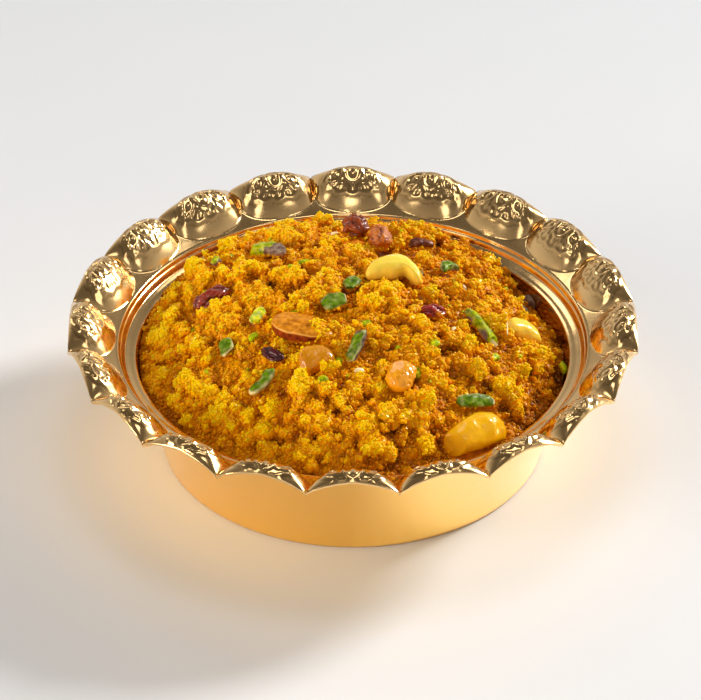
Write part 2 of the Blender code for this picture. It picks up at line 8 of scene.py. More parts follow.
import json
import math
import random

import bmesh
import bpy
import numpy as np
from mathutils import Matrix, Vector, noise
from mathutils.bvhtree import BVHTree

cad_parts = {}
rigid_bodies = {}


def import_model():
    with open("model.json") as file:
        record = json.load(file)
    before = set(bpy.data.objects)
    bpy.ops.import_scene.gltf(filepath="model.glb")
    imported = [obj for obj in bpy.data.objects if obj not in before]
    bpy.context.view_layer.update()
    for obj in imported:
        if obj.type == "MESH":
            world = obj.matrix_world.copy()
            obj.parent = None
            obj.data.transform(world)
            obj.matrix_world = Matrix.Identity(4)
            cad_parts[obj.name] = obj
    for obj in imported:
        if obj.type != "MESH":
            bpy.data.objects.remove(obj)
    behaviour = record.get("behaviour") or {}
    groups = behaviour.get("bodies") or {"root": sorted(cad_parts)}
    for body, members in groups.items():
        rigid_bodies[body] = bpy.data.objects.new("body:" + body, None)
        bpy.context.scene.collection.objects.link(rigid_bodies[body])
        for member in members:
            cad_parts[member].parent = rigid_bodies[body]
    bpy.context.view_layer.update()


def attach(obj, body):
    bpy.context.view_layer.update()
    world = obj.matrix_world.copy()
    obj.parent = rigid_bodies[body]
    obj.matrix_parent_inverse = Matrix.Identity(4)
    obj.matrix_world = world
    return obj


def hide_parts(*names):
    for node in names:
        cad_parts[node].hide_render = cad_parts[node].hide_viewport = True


bl_info = {
    "name": "Moong Dal Halwa",
    "version": (1, 0, 0),
    "blender": (4, 5, 0),
    "location": "View3D > Sidebar > Halwa",
    "description": "Builds a scalloped metal bowl of crumbly halwa with nuts and raisins",
    "category": "Add Mesh",
}

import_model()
BODY = "root"
MM = 0.001

# ---------------------------------------------------------------- sizes and places, in millimetres
LOBES = 20
PLAIN_COLUMNS = 18
BASE_RADIUS = 67.6
BASE_ROUND = 1.8
SHEET = 1.3
WALL_TOP_RADIUS = 81.5
WALL_TOP_HEIGHT = 36.5
WALL_FLARE = 1.25
FLOOR_THICKNESS = 1.2
SOLID_LEDGE_RADIUS = 80.2
SHELF_RADIUS = 75.9
SHELF_HEIGHT = 36.3
SHELF_WALL_SLOPE = 0.2
LEDGE_RADIUS = 79.8
LEDGE_HEIGHT = 37.1
BAND_CREASE_RADIUS = 81.1
BAND_CREASE_HEIGHT = 39.2
BAND_RADIUS = 82.1
BAND_HEIGHT = 40.7
LOBE_START_RADIUS = 83.0
LOBE_START_HEIGHT = 40.9
LOBE_END_RADIUS = 95.0
LOBE_CREST = 7.7
LOBE_CREST_RADIUS = 94.0
LOBE_EDGE_CREST = 5.0
LOBE_ARCH_POWER = 0.62
LOBE_FOOT_CURVE = 2.0
LOBE_SQUARENESS = 0.3
FLOWER_RADIUS = 90.0
FIELD_CENTRE = 2.9
FIELD_HALF_LENGTH = 5.8
FIELD_HALF_WIDTH = 10.6
CUSP_RADIUS = 100.0
CUSP_HEIGHT = 46.0
EDGE_SAG = 1.2
# Beads along the foot and up the side of a lobe's flower: place across and outward.
BEADS = ((0.0, -4.1), (2.4, -4.2), (5.0, -3.6), (7.4, -2.6), (9.2, -0.6), (8.8, 2.0))

# The ledge and its band, inside the bowl: steps out and up from each of their corners.
LEDGE_STEPS = (
    (SHELF_RADIUS, SHELF_HEIGHT, ((0.05, -0.12), (0.3, 0.05), (1.6, 0.28))),
    (LEDGE_RADIUS, LEDGE_HEIGHT, ((-1.2, -0.32), (-0.7, -0.05), (-0.25, 0.02), (0.05, 0.15),
                                  (0.3, 0.6), (0.7, 1.25), (1.05, 1.8))),
    (BAND_CREASE_RADIUS, BAND_CREASE_HEIGHT, ((-0.12, -0.16), (0.0, 0.0), (0.12, 0.06), (0.3, 0.26))),
    (BAND_RADIUS, BAND_HEIGHT, ((-0.4, -0.62), (-0.1, -0.12), (0.15, 0.12))),
    (LOBE_START_RADIUS, LOBE_START_HEIGHT, ((-0.5, -0.06),)),
)
# The rounded lip, as drops and insets, then the radii of the rings under the rim.
LIP_STEPS = ((0.0, 0.25), (0.18, 0.05), (0.5, 0.0), (0.85, 0.1), (1.05, 0.45))
UNDER_RADII = (98.0, 96.5, 95.0, 93.5, 92.0, 90.5, 89.0, 87.6, 86.0)

# The heap: how high it stands, how round it is, how far its edge draws in, clumps of two sizes, the
# gaps round it, and how far the bare core lies under the lumps on it.
HEAP_TOP = 58.0
HEAP_EDGE_HEIGHT = 32.5
HEAP_ROUND = 2.2
HEAP_FULLNESS = 0.9
HEAP_EDGE_DRAW = 2.4
CLUMP_SPACING = 10.5
CLUMP_RELIEF = 4.2
BROAD_SPACING = 16.0
BROAD_RELIEF = 1.6
HEAP_WALL_GAP = 0.6
HEAP_FLOOR_GAP = 0.35
HEAP_MAX_RADIUS = 79.0
HEAP_SKIN = 0.8
BACK_DROP = 2.2
# Round the heap: bearing and width in degrees, then millimetres of depth, of height or of reach.
HOLLOW = (25.0, 22.0, 4.0)
PUSHED_UP = ((52.0, 22.0, 3.2), (165.0, 34.0, 3.0), (10.0, 32.0, 6.0))
PUSHED_OUT = (14.0, 30.0, 2.4)
# Where it spills on to the shelf: bearing and width in degrees, and how abruptly it starts.
SPILLS = ((92.0, 30.0, 4), (186.0, 12.0, 2))
# What shows stays under the soft top and clear of the wall; what is hidden ends in a plain foot.
SOFT_TOP = 63.6
SOFT_RANGE = 3.0
SOFT_REACH = 2.0
MASS_GAP = 0.45
LOOSE_GAP = 0.3
CUT_LEVEL = 21.0
FOOT_LEVEL = 1.7
RELIEF_BLUR = 4
GRAIN_SIZE = 1.7

# Toppings: name, x, y, heading, roll, pitch, lift, then the kind's own sizes, as in the solids.
CASHEWS = (
    ("cashew_1", 40.4, -53.4, 36, 12, 0, 1.2, 26.0, 13.5, 11.0, 0.35),
    ("cashew_2", 14.5, 15.0, -4, 22, 0, 1.8, 20.5, 11.0, 9.0, 1.0),
    ("cashew_3", 58.8, 6.0, 8, 0, -12, 0.6, 15.0, 9.5, 8.0, 0.7),
    ("cashew_4", -12.6, -32.6, 20, 0, 6, 0.6, 13.0, 11.0, 8.5, 0.35),
)
ALMONDS = (
    ("almond_half", -17.0, -16.5, -24, -16, 6, 1.6, 22.5, 14.2, 7.5),
)
RAISINS = (
    ("raisin_1", 1.0, 50.4, -70, 10, 0, 2.6, 13.0, 8.4, 8.4, 5),
    ("raisin_2", 9.6, 41.0, -80, -14, 0, 2.4, 12.5, 8.0, 8.0, 5),
    ("raisin_3", -49.0, 12.6, 22, 8, 0, 1.2, 15.0, 8.0, 6.5, 4),
    ("raisin_4", 27.6, -4.0, 18, 0, 0, 0.8, 9.5, 5.5, 5.0, 4),
    ("raisin_5", -27.4, -27.2, -42, 0, 0, 0.4, 10.4, 4.8, 4.2, 4),
    ("raisin_6", 16.0, -39.4, 80, -10, 0, 1.6, 12.5, 9.5, 7.5, 5),
)
PISTACHIOS = (
    ("pistachio_1", 44.2, -5.0, -50, -18, 0, 1.1, 18.5, 5.6, 3.8, 0.25),
    ("pistachio_2", 41.2, -41.0, 16, 20, 0, 1.0, 15.5, 4.4, 3.2, 0.15),
    ("pistachio_3", 0.8, -28.0, -112, 34, 24, 1.8, 14.0, 4.8, 2.8, 0.1),
    ("pistachio_4", -6.2, -3.8, 30, 24, 0, 0.7, 10.5, 6.0, 2.4, 0.1),
    ("pistachio_5", -30.6, 37.4, -28, 10, 0, 1.2, 15.5, 5.4, 4.2, 0.35),
    ("pistachio_6", -31.2, -37.6, -132, 14, 0, 0.9, 13.0, 4.0, 2.6, 0.5),
    ("pistachio_7", 24.2, 42.6, 28, 26, 0, 0.9, 10.5, 3.6, 3.0, 0.35),
    ("pistachio_8", 34.2, 29.2, 42, 12, 0, 0.9, 9.0, 3.6, 2.8, 0.5),
    ("pistachio_9", -32.4, -5.8, 62, 16, 0, 0.8, 8.2, 4.2, 2.6, 0.1),
    ("pistachio_10", -43.6, -17.6, -80, 18, 0, 0.7, 8.2, 5.2, 2.8, 0.1),
    ("pistachio_11", -0.2, 8.0, 52, 30, 0, 0.8, 7.6, 4.6, 2.6, 0.1),
)
# Where crumbs of halwa lie on a topping: x, y and the radius of the patch.
COVERED = (
    (-9.5, -19.5, 6.0), (-46.0, 7.0, 3.5), (13.0, 8.5, 4.0), (31.0, -7.5, 3.0), (-8.0, -38.0, 4.5),
    (27.0, -59.0, 4.5), (51.0, 1.5, 4.0), (-19.5, -31.5, 3.0), (-5.5, -28.0, 3.0),
)
# Pale slivers of almond: x, y, heading, length and width.
PALE_SLIVERS = (
    (38.7, 16.6, -72, 8.7, 1.3), (50.8, -2.6, -88, 14.0, 0.4), (2.1, -38.9, -4, 3.4, 1.8),
    (12.0, 47.0, -50, 6.0, 0.8), (-6.5, 42.0, 30, 3.0, 1.2), (34.0, -13.0, 60, 2.6, 1.2),
)
# Small bits that lie by chance: how many, how far out, and the height they are dropped from.
CHANCE_BITS = 40
CHANCE_REACH = 66.0
DROP_HEIGHT = 90.0
# Chopped pistachio on the heap: x, y, heading, length, width, and how much purple skin it keeps.
CHOPPED = (
    (48.4, -17.6, 40, 7.0, 2.6, 0.1),
    (-53.4, 38.6, 10, 4.0, 2.6, 0.3),
    (-47.4, 36.4, 60, 4.2, 3.2, 0.6),
    (-22.2, 52.6, 70, 4.4, 2.8, 0.1),
    (-17.2, 24.8, 8, 4.4, 2.4, 0.0),
    (-33.8, -17.0, 40, 4.2, 2.2, 0.0),
    (4.6, -15.4, 30, 4.4, 2.2, 0.0),
    (-9.8, -43.6, 20, 3.6, 2.8, 0.0),
    (21.6, -35.8, -50, 4.2, 3.2, 0.0),
    (27.6, -23.4, 40, 3.8, 2.8, 0.0),
    (61.5, 31.0, 20, 6.0, 2.6, 0.9),
    (69.0, -6.5, -40, 4.6, 3.0, 0.2),
    (24.6, 27.6, -70, 3.0, 2.0, 0.8),
    (63.3, 37.4, 14, 8.0, 4.2, 1.0),
    (73.2, -3.7, -38, 6.0, 2.6, 0.3),
    (-20.1, -7.3, 60, 3.4, 2.6, 0.0),
    (-4.9, -32.1, -58, 3.3, 1.8, 0.0),
)


# ---------------------------------------------------------------- shared helpers
def linear(code):
    """A colour given as an sRGB hex value, turned to the linear values that shaders take."""
    parts = [int(code[i:i + 2], 16) / 255 for i in (1, 3, 5)]
    return tuple(c / 12.92 if c <= 0.04045 else ((c + 0.055) / 1.055) ** 2.4 for c in parts)


def set_inputs(tree, node, inputs):
    """Fills a node's inputs: with values, or with other nodes' outputs, which it links."""
    for key, value in inputs.items():
        if isinstance(value, bpy.types.NodeSocket):
            tree.links.new(value, node.inputs[key])
        else:
            node.inputs[key].default_value = value


def add_node(tree, kind, inputs=None, stops=None, **settings):
    """Adds a node with its inputs and settings; stops fill a colour ramp."""
    node = tree.nodes.new(kind)
    for key, value in settings.items():
        setattr(node, key, value)
    set_inputs(tree, node, inputs or {})
    for index, (position, code) in enumerate(stops or ()):
        marks = node.color_ramp.elements
        mark = marks[index] if index < 2 else marks.new(position)
        mark.position = position
        mark.color = (*linear(code), 1.0)
    return node


def start_material(name):
    """A material with its tree, its Principled shader and Object coordinates for its patterns."""
    material = bpy.data.materials.new(name)
    material.use_nodes = True
    tree = material.node_tree
    coords = add_node(tree, "ShaderNodeTexCoord").outputs["Object"]
    return material, tree, tree.nodes["Principled BSDF"], coords


def grain_scale(size_mm):
    """The Scale of a noise pattern on Object coordinates for grains of a real size."""
    return 1.0 / (size_mm * MM)


def make_piece(name, points, faces, material, sharp=None):
    """A finished mesh piece: points in millimetres, object at the origin, riding on the body."""
    mesh = bpy.data.meshes.new(name)
    mesh.from_pydata((np.asarray(points) * MM).tolist(), [], [tuple(face) for face in faces])
    mesh.materials.append(material)
    mesh.shade_smooth()
    if sharp:
        mesh.set_sharp_from_angle(angle=math.radians(sharp))
    item = bpy.data.objects.new(name, mesh)
    bpy.context.scene.collection.objects.link(item)
    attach(item, BODY)
    return item


def store(mesh, name, values):
    """Writes one number for each point of a mesh, for its material to read."""
    if name in mesh.attributes:
        mesh.attributes.remove(mesh.attributes[name])
    attribute = mesh.attributes.new(name, "FLOAT", "POINT")
    attribute.data.foreach_set("value", np.asarray(values, dtype=np.float32))


def read(mesh, name):
    """The numbers that store wrote."""
    values = np.empty(len(mesh.vertices), dtype=np.float32)
    mesh.attributes[name].data.foreach_get("value", values)
    return values


def freeze(item):
    """Turns an object's modifiers into plain mesh and removes them."""
    graph = bpy.context.evaluated_depsgraph_get()
    mesh = bpy.data.meshes.new_from_object(item.evaluated_get(graph), depsgraph=graph)
    item.modifiers.clear()
    item.data = mesh
    mesh.name = item.name


def points_of(mesh):
    """A mesh's points in millimetres."""
    flat = np.empty(len(mesh.vertices) * 3, dtype=np.float32)
    mesh.vertices.foreach_get("co", flat)
    return flat.reshape(-1, 3).astype(float) / MM


def set_points(mesh, points):
    mesh.vertices.foreach_set("co", (points * MM).astype(np.float32).ravel())
    mesh.update()


def noise_at(points, size, seed):
    """Smooth noise from about -1 to 1 at each point, with bumps of a size in millimetres."""
    shift = Vector((seed, 2.3 * seed, -1.7 * seed))
    return np.array([noise.noise(Vector(p) / size + shift) for p in points])


# ---------------------------------------------------------------- the bowl's form
def wall_outside(height):
    rise = np.maximum(0.0, np.asarray(height, dtype=float) - BASE_ROUND)
    rise = np.minimum(1.0, rise / (WALL_TOP_HEIGHT - BASE_ROUND))
    return BASE_RADIUS + (WALL_TOP_RADIUS - BASE_RADIUS) * rise ** WALL_FLARE


def wall_inside(height):
    """The inner wall, which stands steeper near the top and ends in a nearly flat shelf."""
    steep = SHELF_RADIUS - SHELF_WALL_SLOPE * (SHELF_HEIGHT - np.asarray(height, dtype=float))
    return np.minimum(wall_outside(height) - SHEET, steep)


def room_inside(height):
    """The free radius at a height: the wall, then over the shelf and the band up to the rim."""
    over = np.interp(height, (SHELF_HEIGHT, LEDGE_HEIGHT, BAND_HEIGHT, BAND_HEIGHT + 1.0),
                     (SHELF_RADIUS, LEDGE_RADIUS, BAND_RADIUS, BAND_RADIUS + 2.0))
    return np.where(np.asarray(height) < SHELF_HEIGHT, wall_inside(height), over)


def valley_height(radius):
    share = (radius - LOBE_START_RADIUS) / (CUSP_RADIUS - LOBE_START_RADIUS)
    return LOBE_START_HEIGHT + (CUSP_HEIGHT - LOBE_START_HEIGHT) * share


def crest_rise(radius):
    span = CUSP_RADIUS - EDGE_SAG - LOBE_CREST_RADIUS
    share = np.maximum(0.0, radius - LOBE_CREST_RADIUS) / span
    return LOBE_CREST - (LOBE_CREST - LOBE_EDGE_CREST) * share ** 2


def leaf(u, v, centre_u, centre_v, half_width, half_length, turn=0.0):
    """Signed distance to a leaf pointed at both ends: below zero inside."""
    c, s = math.cos(math.radians(turn)), math.sin(math.radians(turn))
    x = (u - centre_u) * c + (v - centre_v) * s
    y = (v - centre_v) * c - (u - centre_u) * s
    offset = (half_length ** 2 - half_width ** 2) / (2.0 * half_width)
    return np.hypot(np.abs(x) + offset, y) - (offset + half_width)


def disc(u, v, centre_u, centre_v, radius):
    return np.hypot(u - centre_u, v - centre_v) - radius


def line(distance, width):
    """A raised line along the outline of a shape."""
    return np.exp(-(distance / width) ** 2)


def fill(distance, soft):
    """Rises smoothly to 1 inside a shape."""
    return 1.0 / (1.0 + np.exp(np.clip(distance / soft, -30.0, 30.0)))


def emboss(u, v):
    """The pressed flower of one lobe, in millimetres: u runs across it, v outward from its middle."""
    side = np.abs(u)
    out = v - FIELD_CENTRE
    # The flower in the middle, its heart and two seeds beside it.
    middle = np.minimum(leaf(u, out, 0.0, 1.2, 3.1, 3.8), disc(u, out, 0.0, 0.0, 2.8))
    height = 0.6 * line(middle, 0.55) + 0.2 * fill(middle + 0.6, 0.3)
    height += 0.55 * line(disc(u, out, 0.0, -0.3, 0.0), 1.1)
    height += 0.45 * line(disc(side, out, 1.4, 2.0, 0.0), 0.65)
    # A slanting leaf at each side, with a bead on it and a small ring below.
    wing = leaf(side, out, 6.3, 0.2, 2.2, 3.4, 50.0)
    height += 0.6 * line(wing, 0.55) + 0.2 * fill(wing + 0.5, 0.3)
    height += 0.5 * line(disc(side, out, 6.3, 0.2, 0.0), 0.9)
    height += 0.45 * line(disc(side, out, 3.6, -2.6, 0.7), 0.55)
    # The beads, then the wavy outline that holds it all.
    for across, place in BEADS:
        height += 0.5 * line(disc(side, out, across, place, 0.0), 0.85)
    turn = np.arctan2(out / FIELD_HALF_LENGTH, u / FIELD_HALF_WIDTH)
    field = np.hypot(u / FIELD_HALF_WIDTH, out / FIELD_HALF_LENGTH)
    outline = (field - 1.0 - 0.04 * np.cos(12.0 * turn)) * 6.0
    return (height * fill(outline + 0.3, 0.3) + 0.35 * line(outline, 0.55)) * 0.95


def lobe_dome(across, radius):
    """Height of the plain lobe, and how far a point lies inside its outline."""
    inner = np.maximum(0.0, LOBE_END_RADIUS - radius) / (LOBE_END_RADIUS - LOBE_START_RADIUS)
    span = np.maximum(1e-6, 1.0 - across ** 2)
    foot = np.maximum(0.0, 1.0 - (inner / span ** LOBE_SQUARENESS) ** LOBE_FOOT_CURVE)
    rise = crest_rise(radius) * span ** LOBE_ARCH_POWER * foot
    return valley_height(radius) + rise, span * foot


def lobe_top(across, radius):
    """Height of the rim's top with its pressed flower, and the height of the flower alone."""
    base, reach = lobe_dome(across, radius)
    u = across * radius * math.pi / LOBES
    pattern = emboss(u, radius - FLOWER_RADIUS) * np.minimum(1.0, reach * 5.0)
    return base + pattern, pattern


def bowl_columns(count):
    """Angles for one ring and each one's place across its lobe, from -1 to 1."""
    share = np.arange(count) / count
    across = ((share * LOBES) % 1.0) * 2.0 - 1.0
    return share * math.tau - math.pi / LOBES, across


def ring_points(radius, angles, height):
    radius = np.broadcast_to(radius, angles.shape)
    height = np.broadcast_to(height, angles.shape)
    return np.stack([radius * np.cos(angles), radius * np.sin(angles), height], axis=1)


def lobe_ring(radius, count):
    angles, across = bowl_columns(count)
    height, pattern = lobe_top(across, np.full(count, radius))
    return ring_points(radius, angles, height), pattern


def edge_ring(count, drop, inset):
    """A ring along the rim's edge, which draws in a little between two cusps."""
    angles, across = bowl_columns(count)
    radius = CUSP_RADIUS - EDGE_SAG * (1.0 - across ** 2)
    height, _ = lobe_top(across, radius)
    return ring_points(radius - inset, angles, height - drop), np.zeros(count)


def under_ring(radius, count):
    """A ring under the rim, one sheet's thickness below the plain lobes."""
    angles, across = bowl_columns(count)
    return ring_points(radius, angles, lobe_dome(across, radius)[0] - SHEET), np.zeros(count)


def plain_ring(radius, height, count):
    angles, _ = bowl_columns(count)
    return ring_points(radius, angles, height), np.zeros(count)


def bowl_rings(fine, plain):
    """Every ring of the bowl, from the inside floor over the rim to the base, with its finish."""
    inside = float(wall_inside(BASE_ROUND))
    profile = [(inside - 3.0, FLOOR_THICKNESS), (inside - 1.6, FLOOR_THICKNESS),
               (inside - 0.6, FLOOR_THICKNESS + 0.25)]
    profile += [(float(wall_inside(height)), height)
                for height in np.linspace(BASE_ROUND, SHELF_HEIGHT - 0.4, 14)]
    profile += [(radius + out, height + up)
                for radius, height, steps in LEDGE_STEPS for out, up in steps]
    top = [plain_ring(radius, height, plain) for radius, height in profile]
    top += [lobe_ring(radius, fine)
            for radius in np.linspace(LOBE_START_RADIUS, CUSP_RADIUS - 1.8, 40)]
    top += [edge_ring(fine, drop, inset) for drop, inset in LIP_STEPS]
    outside = [(BAND_RADIUS + 1.0, BAND_HEIGHT - SHEET)]
    outside += [(float(wall_outside(height)), height)
                for height in np.linspace(BASE_ROUND, WALL_TOP_HEIGHT, 12)[::-1]]
    outside += [(BASE_RADIUS - 0.2, BASE_ROUND * 0.5), (BASE_RADIUS - 0.6, 0.3),
                (BASE_RADIUS - 1.4, 0.0)]
    under = [under_ring(radius, plain) for radius in UNDER_RADII]
    under += [plain_ring(radius, height, plain) for radius, height in outside]
    return [(*ring, 0) for ring in top] + [(*ring, 1) for ring in under]


def zip_faces(first, count_a, second, count_b):
    """Faces between two rings whose counts are equal, or one a multiple of the other."""
    if count_a == count_b:
        return [(first + i, first + (i + 1) % count_a, second + (i + 1) % count_b, second + i)
                for i in range(count_a)]
    faces = []
    if count_a < count_b:
        step = count_b // count_a
        for i in range(count_a):
            a, b = first + i, first + (i + 1) % count_a
            half = i * step + step // 2
            for j in range(step):
                corner = a if j < step // 2 else b
                low = i * step + j
                faces.append((corner, second + (low + 1) % count_b, second + low % count_b))
                if low + 1 == half:
                    faces.append((a, b, second + half % count_b))
    else:
        faces = [tuple(reversed(face)) for face in zip_faces(second, count_b, first, count_a)]
    return faces


def fan_faces(first, count, middle, flip):
    """Faces between a ring and one point in its middle."""
    pairs = [(first + i, first + (i + 1) % count) for i in range(count)]
    return [(*(pair[::-1] if flip else pair), middle) for pair in pairs]


# ---------------------------------------------------------------- the heap's form
def swell_at(angle, bearing, width, power=2):
    """1 at a bearing round the heap, falling to 0 beyond its width at both sides; both in degrees."""
    off = (np.degrees(angle) - bearing + 180.0) % 360.0 - 180.0
    return np.exp(-(off / width) ** power)


def heap_edge(angle):
    """Height of the heap's edge: higher at the back and the left, with a hollow at the right."""
    bearing, width, depth = HOLLOW
    swing = 5.0 * np.sin(angle) - 4.5 * np.cos(2.0 * angle) - 2.0 * np.cos(angle)
    return HEAP_EDGE_HEIGHT + swing - depth * swell_at(angle, bearing, width)


def heap_plan():
    """The heap's radius at every half degree, worked out once."""
    angles = np.radians(np.arange(-180.0, 180.5, 0.5))
    drawn = np.array([noise.noise(Vector((math.cos(a), math.sin(a), 0.0)) * 4.0) for a in angles])
    wall = np.minimum(wall_outside(heap_edge(angles)) - SHEET, SOLID_LEDGE_RADIUS) - HEAP_WALL_GAP
    return angles, np.minimum(wall, HEAP_MAX_RADIUS) - HEAP_EDGE_DRAW * np.maximum(0.0, drawn)


PLAN_ANGLES, PLAN_RADII = heap_plan()


def heap_radius(angle):
    return np.interp((angle + math.pi) % math.tau - math.pi, PLAN_ANGLES, PLAN_RADII)


def mass_radius(angle):
    """The finished heap's edge: inside the shelf, spilling on to it at the back and the left, and
    pushed out a little at the right."""
    spill = np.minimum(1.0, sum(swell_at(angle, *place) for place in SPILLS))
    shelf = SHELF_RADIUS - HEAP_WALL_GAP
    bearing, width, reach = PUSHED_OUT
    pushed = reach * swell_at(angle, bearing, width)
    return np.minimum(heap_radius(angle) + pushed, shelf + (HEAP_MAX_RADIUS - shelf) * spill)


def edge_fill(angles):
    """Halwa pushed up against the shelf at the right, the back right and the left, in millimetres."""
    return sum(depth * swell_at(angles, bearing, width) for bearing, width, depth in PUSHED_UP)


def dome_height(x, y):
    angle = np.arctan2(y, x)
    edge = heap_edge(angle)
    share = np.minimum(np.hypot(x, y) / heap_radius(angle), 1.0)
    return edge + (HEAP_TOP - edge) * (1.0 - share ** HEAP_ROUND) ** HEAP_FULLNESS


def dome_normal(x, y):
    step = 4.0
    slope_x = (dome_height(x + step, y) - dome_height(x - step, y)) / (2.0 * step)
    slope_y = (dome_height(x, y + step) - dome_height(x, y - step)) / (2.0 * step)
    return Vector((-slope_x, -slope_y, 1.0)).normalized()


TOPPINGS = (*CASHEWS, *ALMONDS, *RAISINS, *PISTACHIOS)
SMALL_TOPPINGS = (*PISTACHIOS, RAISINS[0], RAISINS[1], RAISINS[4])


def covered(x, y):
    """1 where crumbs lie on a topping, falling to 0 at the edge of the patch."""
    share = np.zeros_like(np.asarray(x, dtype=float))
    for place_x, place_y, radius in COVERED:
        out = np.hypot(x - place_x, y - place_y)
        share = np.maximum(share, np.clip((radius - out) / 1.5, 0.0, 1.0))
    return share


def bareness(x, y, margin=5.0, inner=1.0, rows=TOPPINGS):
    """1 over open halwa, falling to 0 under a nut or raisin, from inner times its outline inwards."""
    left = np.ones_like(np.asarray(x, dtype=float))
    for row in rows:
        heading = math.radians(row[3])
        along = (x - row[1]) * math.cos(heading) + (y - row[2]) * math.sin(heading)
        across = (y - row[2]) * math.cos(heading) - (x - row[1]) * math.sin(heading)
        out = np.hypot(along / row[7], across / row[8]) * 2.0
        gap = (out - inner) * row[8] / 2.0
        left = np.minimum(left, np.clip(gap / margin, 0.0, 1.0))
    return np.maximum(left, covered(x, y))


def heap_relief(x, y):
    """The clumps of the heap, as in the solid, kept low round the toppings."""
    place = Vector((x, y, 0.0))
    nearest = noise.voronoi(place / CLUMP_SPACING)[0][0]
    clump = CLUMP_RELIEF * (0.5 - min(1.0, 1.3 * nearest) ** 2)
    return clump + BROAD_RELIEF * noise.noise(place / BROAD_SPACING)


def seat(row):
    """Where a topping lies: on the heap, square to its surface, turned, rolled and pitched."""
    _, x, y, heading, roll, pitch, lift = row[:7]
    normal = dome_normal(x, y)
    along = Vector((math.cos(math.radians(heading)), math.sin(math.radians(heading)), 0.0))
    along = (along - normal * along.dot(normal)).normalized()
    place = Vector((x, y, float(dome_height(x, y)))) + normal * lift
    axes = Matrix((along, normal.cross(along), normal)).transposed().to_4x4()
    turn = Matrix.Rotation(math.radians(pitch), 4, "Y") @ Matrix.Rotation(math.radians(roll), 4, "X")
    return Matrix.Translation(place) @ axes @ turn


# ---------------------------------------------------------------- materials
def polished_brass(settings):
    """Brass sheet, pressed, polished and lacquered gold: a pale gold mirror with dark grooves."""
    material, tree, shader, coords = start_material("polished_brass_sheet")
    groove = add_node(tree, "ShaderNodeAttribute", attribute_name="groove")
    stain, smear, dent = (
        add_node(tree, "ShaderNodeTexNoise",
                 {"Vector": coords, "Scale": grain_scale(size), "Detail": detail})
        for size, detail in ((14.0, 4.0), (6.0, 5.0), (7.0, 2.0)))
    dark = add_node(tree, "ShaderNodeMath", {0: groove.outputs["Fac"], 1: stain.outputs["Fac"]},
                    operation="MULTIPLY")
    tint = add_node(tree, "ShaderNodeMix",
                    {0: dark.outputs[0], 6: (*settings.brass, 1.0), 7: (*linear("#8A6430"), 1.0)},
                    data_type="RGBA")
    rough = add_node(tree, "ShaderNodeMapRange", {0: smear.outputs["Fac"], 1: 0.3, 2: 0.8,
                                                  3: settings.polish, 4: settings.polish + 0.1})
    bump = add_node(tree, "ShaderNodeBump",
                    {"Height": dent.outputs["Fac"], "Strength": 0.25, "Distance": 0.0003})
    set_inputs(tree, shader, {"Base Color": tint.outputs[2], "Roughness": rough.outputs[0],
                              "Normal": bump.outputs[0], "Metallic": 1.0})
    return material


def satin_brass(settings):
    """The same sheet outside the body, drawn and left satin under a clear lacquer: it spreads the
    light of the table over itself in soft bands, with a faint gloss on top."""
    material, tree, shader, coords = start_material("satin_brass_sheet")
    around = add_node(tree, "ShaderNodeMapping", {"Vector": coords, "Scale": (1.0, 1.0, 9.0)})
    lines = add_node(tree, "ShaderNodeTexNoise",
                     {"Vector": around.outputs[0], "Scale": grain_scale(5.0), "Detail": 4.0})
    rough = add_node(tree, "ShaderNodeMapRange", {0: lines.outputs["Fac"], 1: 0.3, 2: 0.7,
                                                  3: settings.satin - 0.04, 4: settings.satin + 0.06})
    set_inputs(tree, shader, {"Base Color": (*settings.body, 1.0), "Roughness": rough.outputs[0],
                              "Metallic": 1.0, "Coat Weight": 1.0, "Coat Roughness": 0.25})
    return material


def cooked_dal(name, settings, glints):
    """Lentil crumbs fried in ghee: translucent golden grains, with painted shade that turns them amber
    where they lie deep and painted light that makes them paler towards the left and the front.
    """
    material, tree, shader, coords = start_material(name)
    depth, tone = (add_node(tree, "ShaderNodeAttribute", attribute_name=mark)
                   for mark in ("depth", "tone"))
    patch, speck = (
        add_node(tree, "ShaderNodeTexNoise",
                 {"Vector": coords, "Scale": grain_scale(size), "Detail": detail})
        for size, detail in ((11.0, 2.0), (1.6, 3.0)))
    # The depth attribute is painted shade and light: darker in the gaps between the clumps, lighter on
    # their tops and towards the left and the front. On the mass the tone adds painted shade between
    # its grains too.
    total = depth.outputs["Fac"]
    for source, weight in ((patch, 0.55), (speck, 0.14), (tone, 0.1)):
        total = add_node(tree, "ShaderNodeMath", {0: source.outputs["Fac"], 1: weight, 2: total},
                         operation="MULTIPLY_ADD").outputs[0]
    place = add_node(tree, "ShaderNodeMapRange", {0: total, 1: 0.38, 2: 1.34})
    colour = add_node(tree, "ShaderNodeValToRGB", {"Fac": place.outputs[0]},
                      stops=((0.0, "#804000"), (1.0, "#FFC800"), (0.25, "#BE6E00"), (0.5, "#E28E00"),
                             (0.75, "#F8AA00")))
    rough = add_node(tree, "ShaderNodeMapRange", {0: speck.outputs["Fac"], 1: 0.35, 2: 0.7,
                                                  3: settings.gloss, 4: settings.gloss + 0.28})
    bump = add_node(tree, "ShaderNodeBump",
                    {"Height": speck.outputs["Fac"], "Strength": 0.5, "Distance": 0.0004})
    set_inputs(tree, shader, {
        "Base Color": colour.outputs["Color"], "Roughness": rough.outputs[0],
        "Normal": bump.outputs[0], "Subsurface Weight": settings.translucence,
        "Subsurface Radius": (1.0, 0.6, 0.1), "Subsurface Scale": 0.0016, "IOR": 1.45,
        "Specular IOR Level": 0.06, "Coat Weight": glints, "Coat Roughness": 0.09})
    return material


def under_crumbs(tree, colour):
    """A smear of halwa where crumbs lie on a topping."""
    cover = add_node(tree, "ShaderNodeAttribute", attribute_name="cover")
    mixed = add_node(tree, "ShaderNodeMix",
                     {0: cover.outputs["Fac"], 6: colour, 7: (*linear("#DE9000"), 1.0)},
                     data_type="RGBA")
    return mixed.outputs[2]


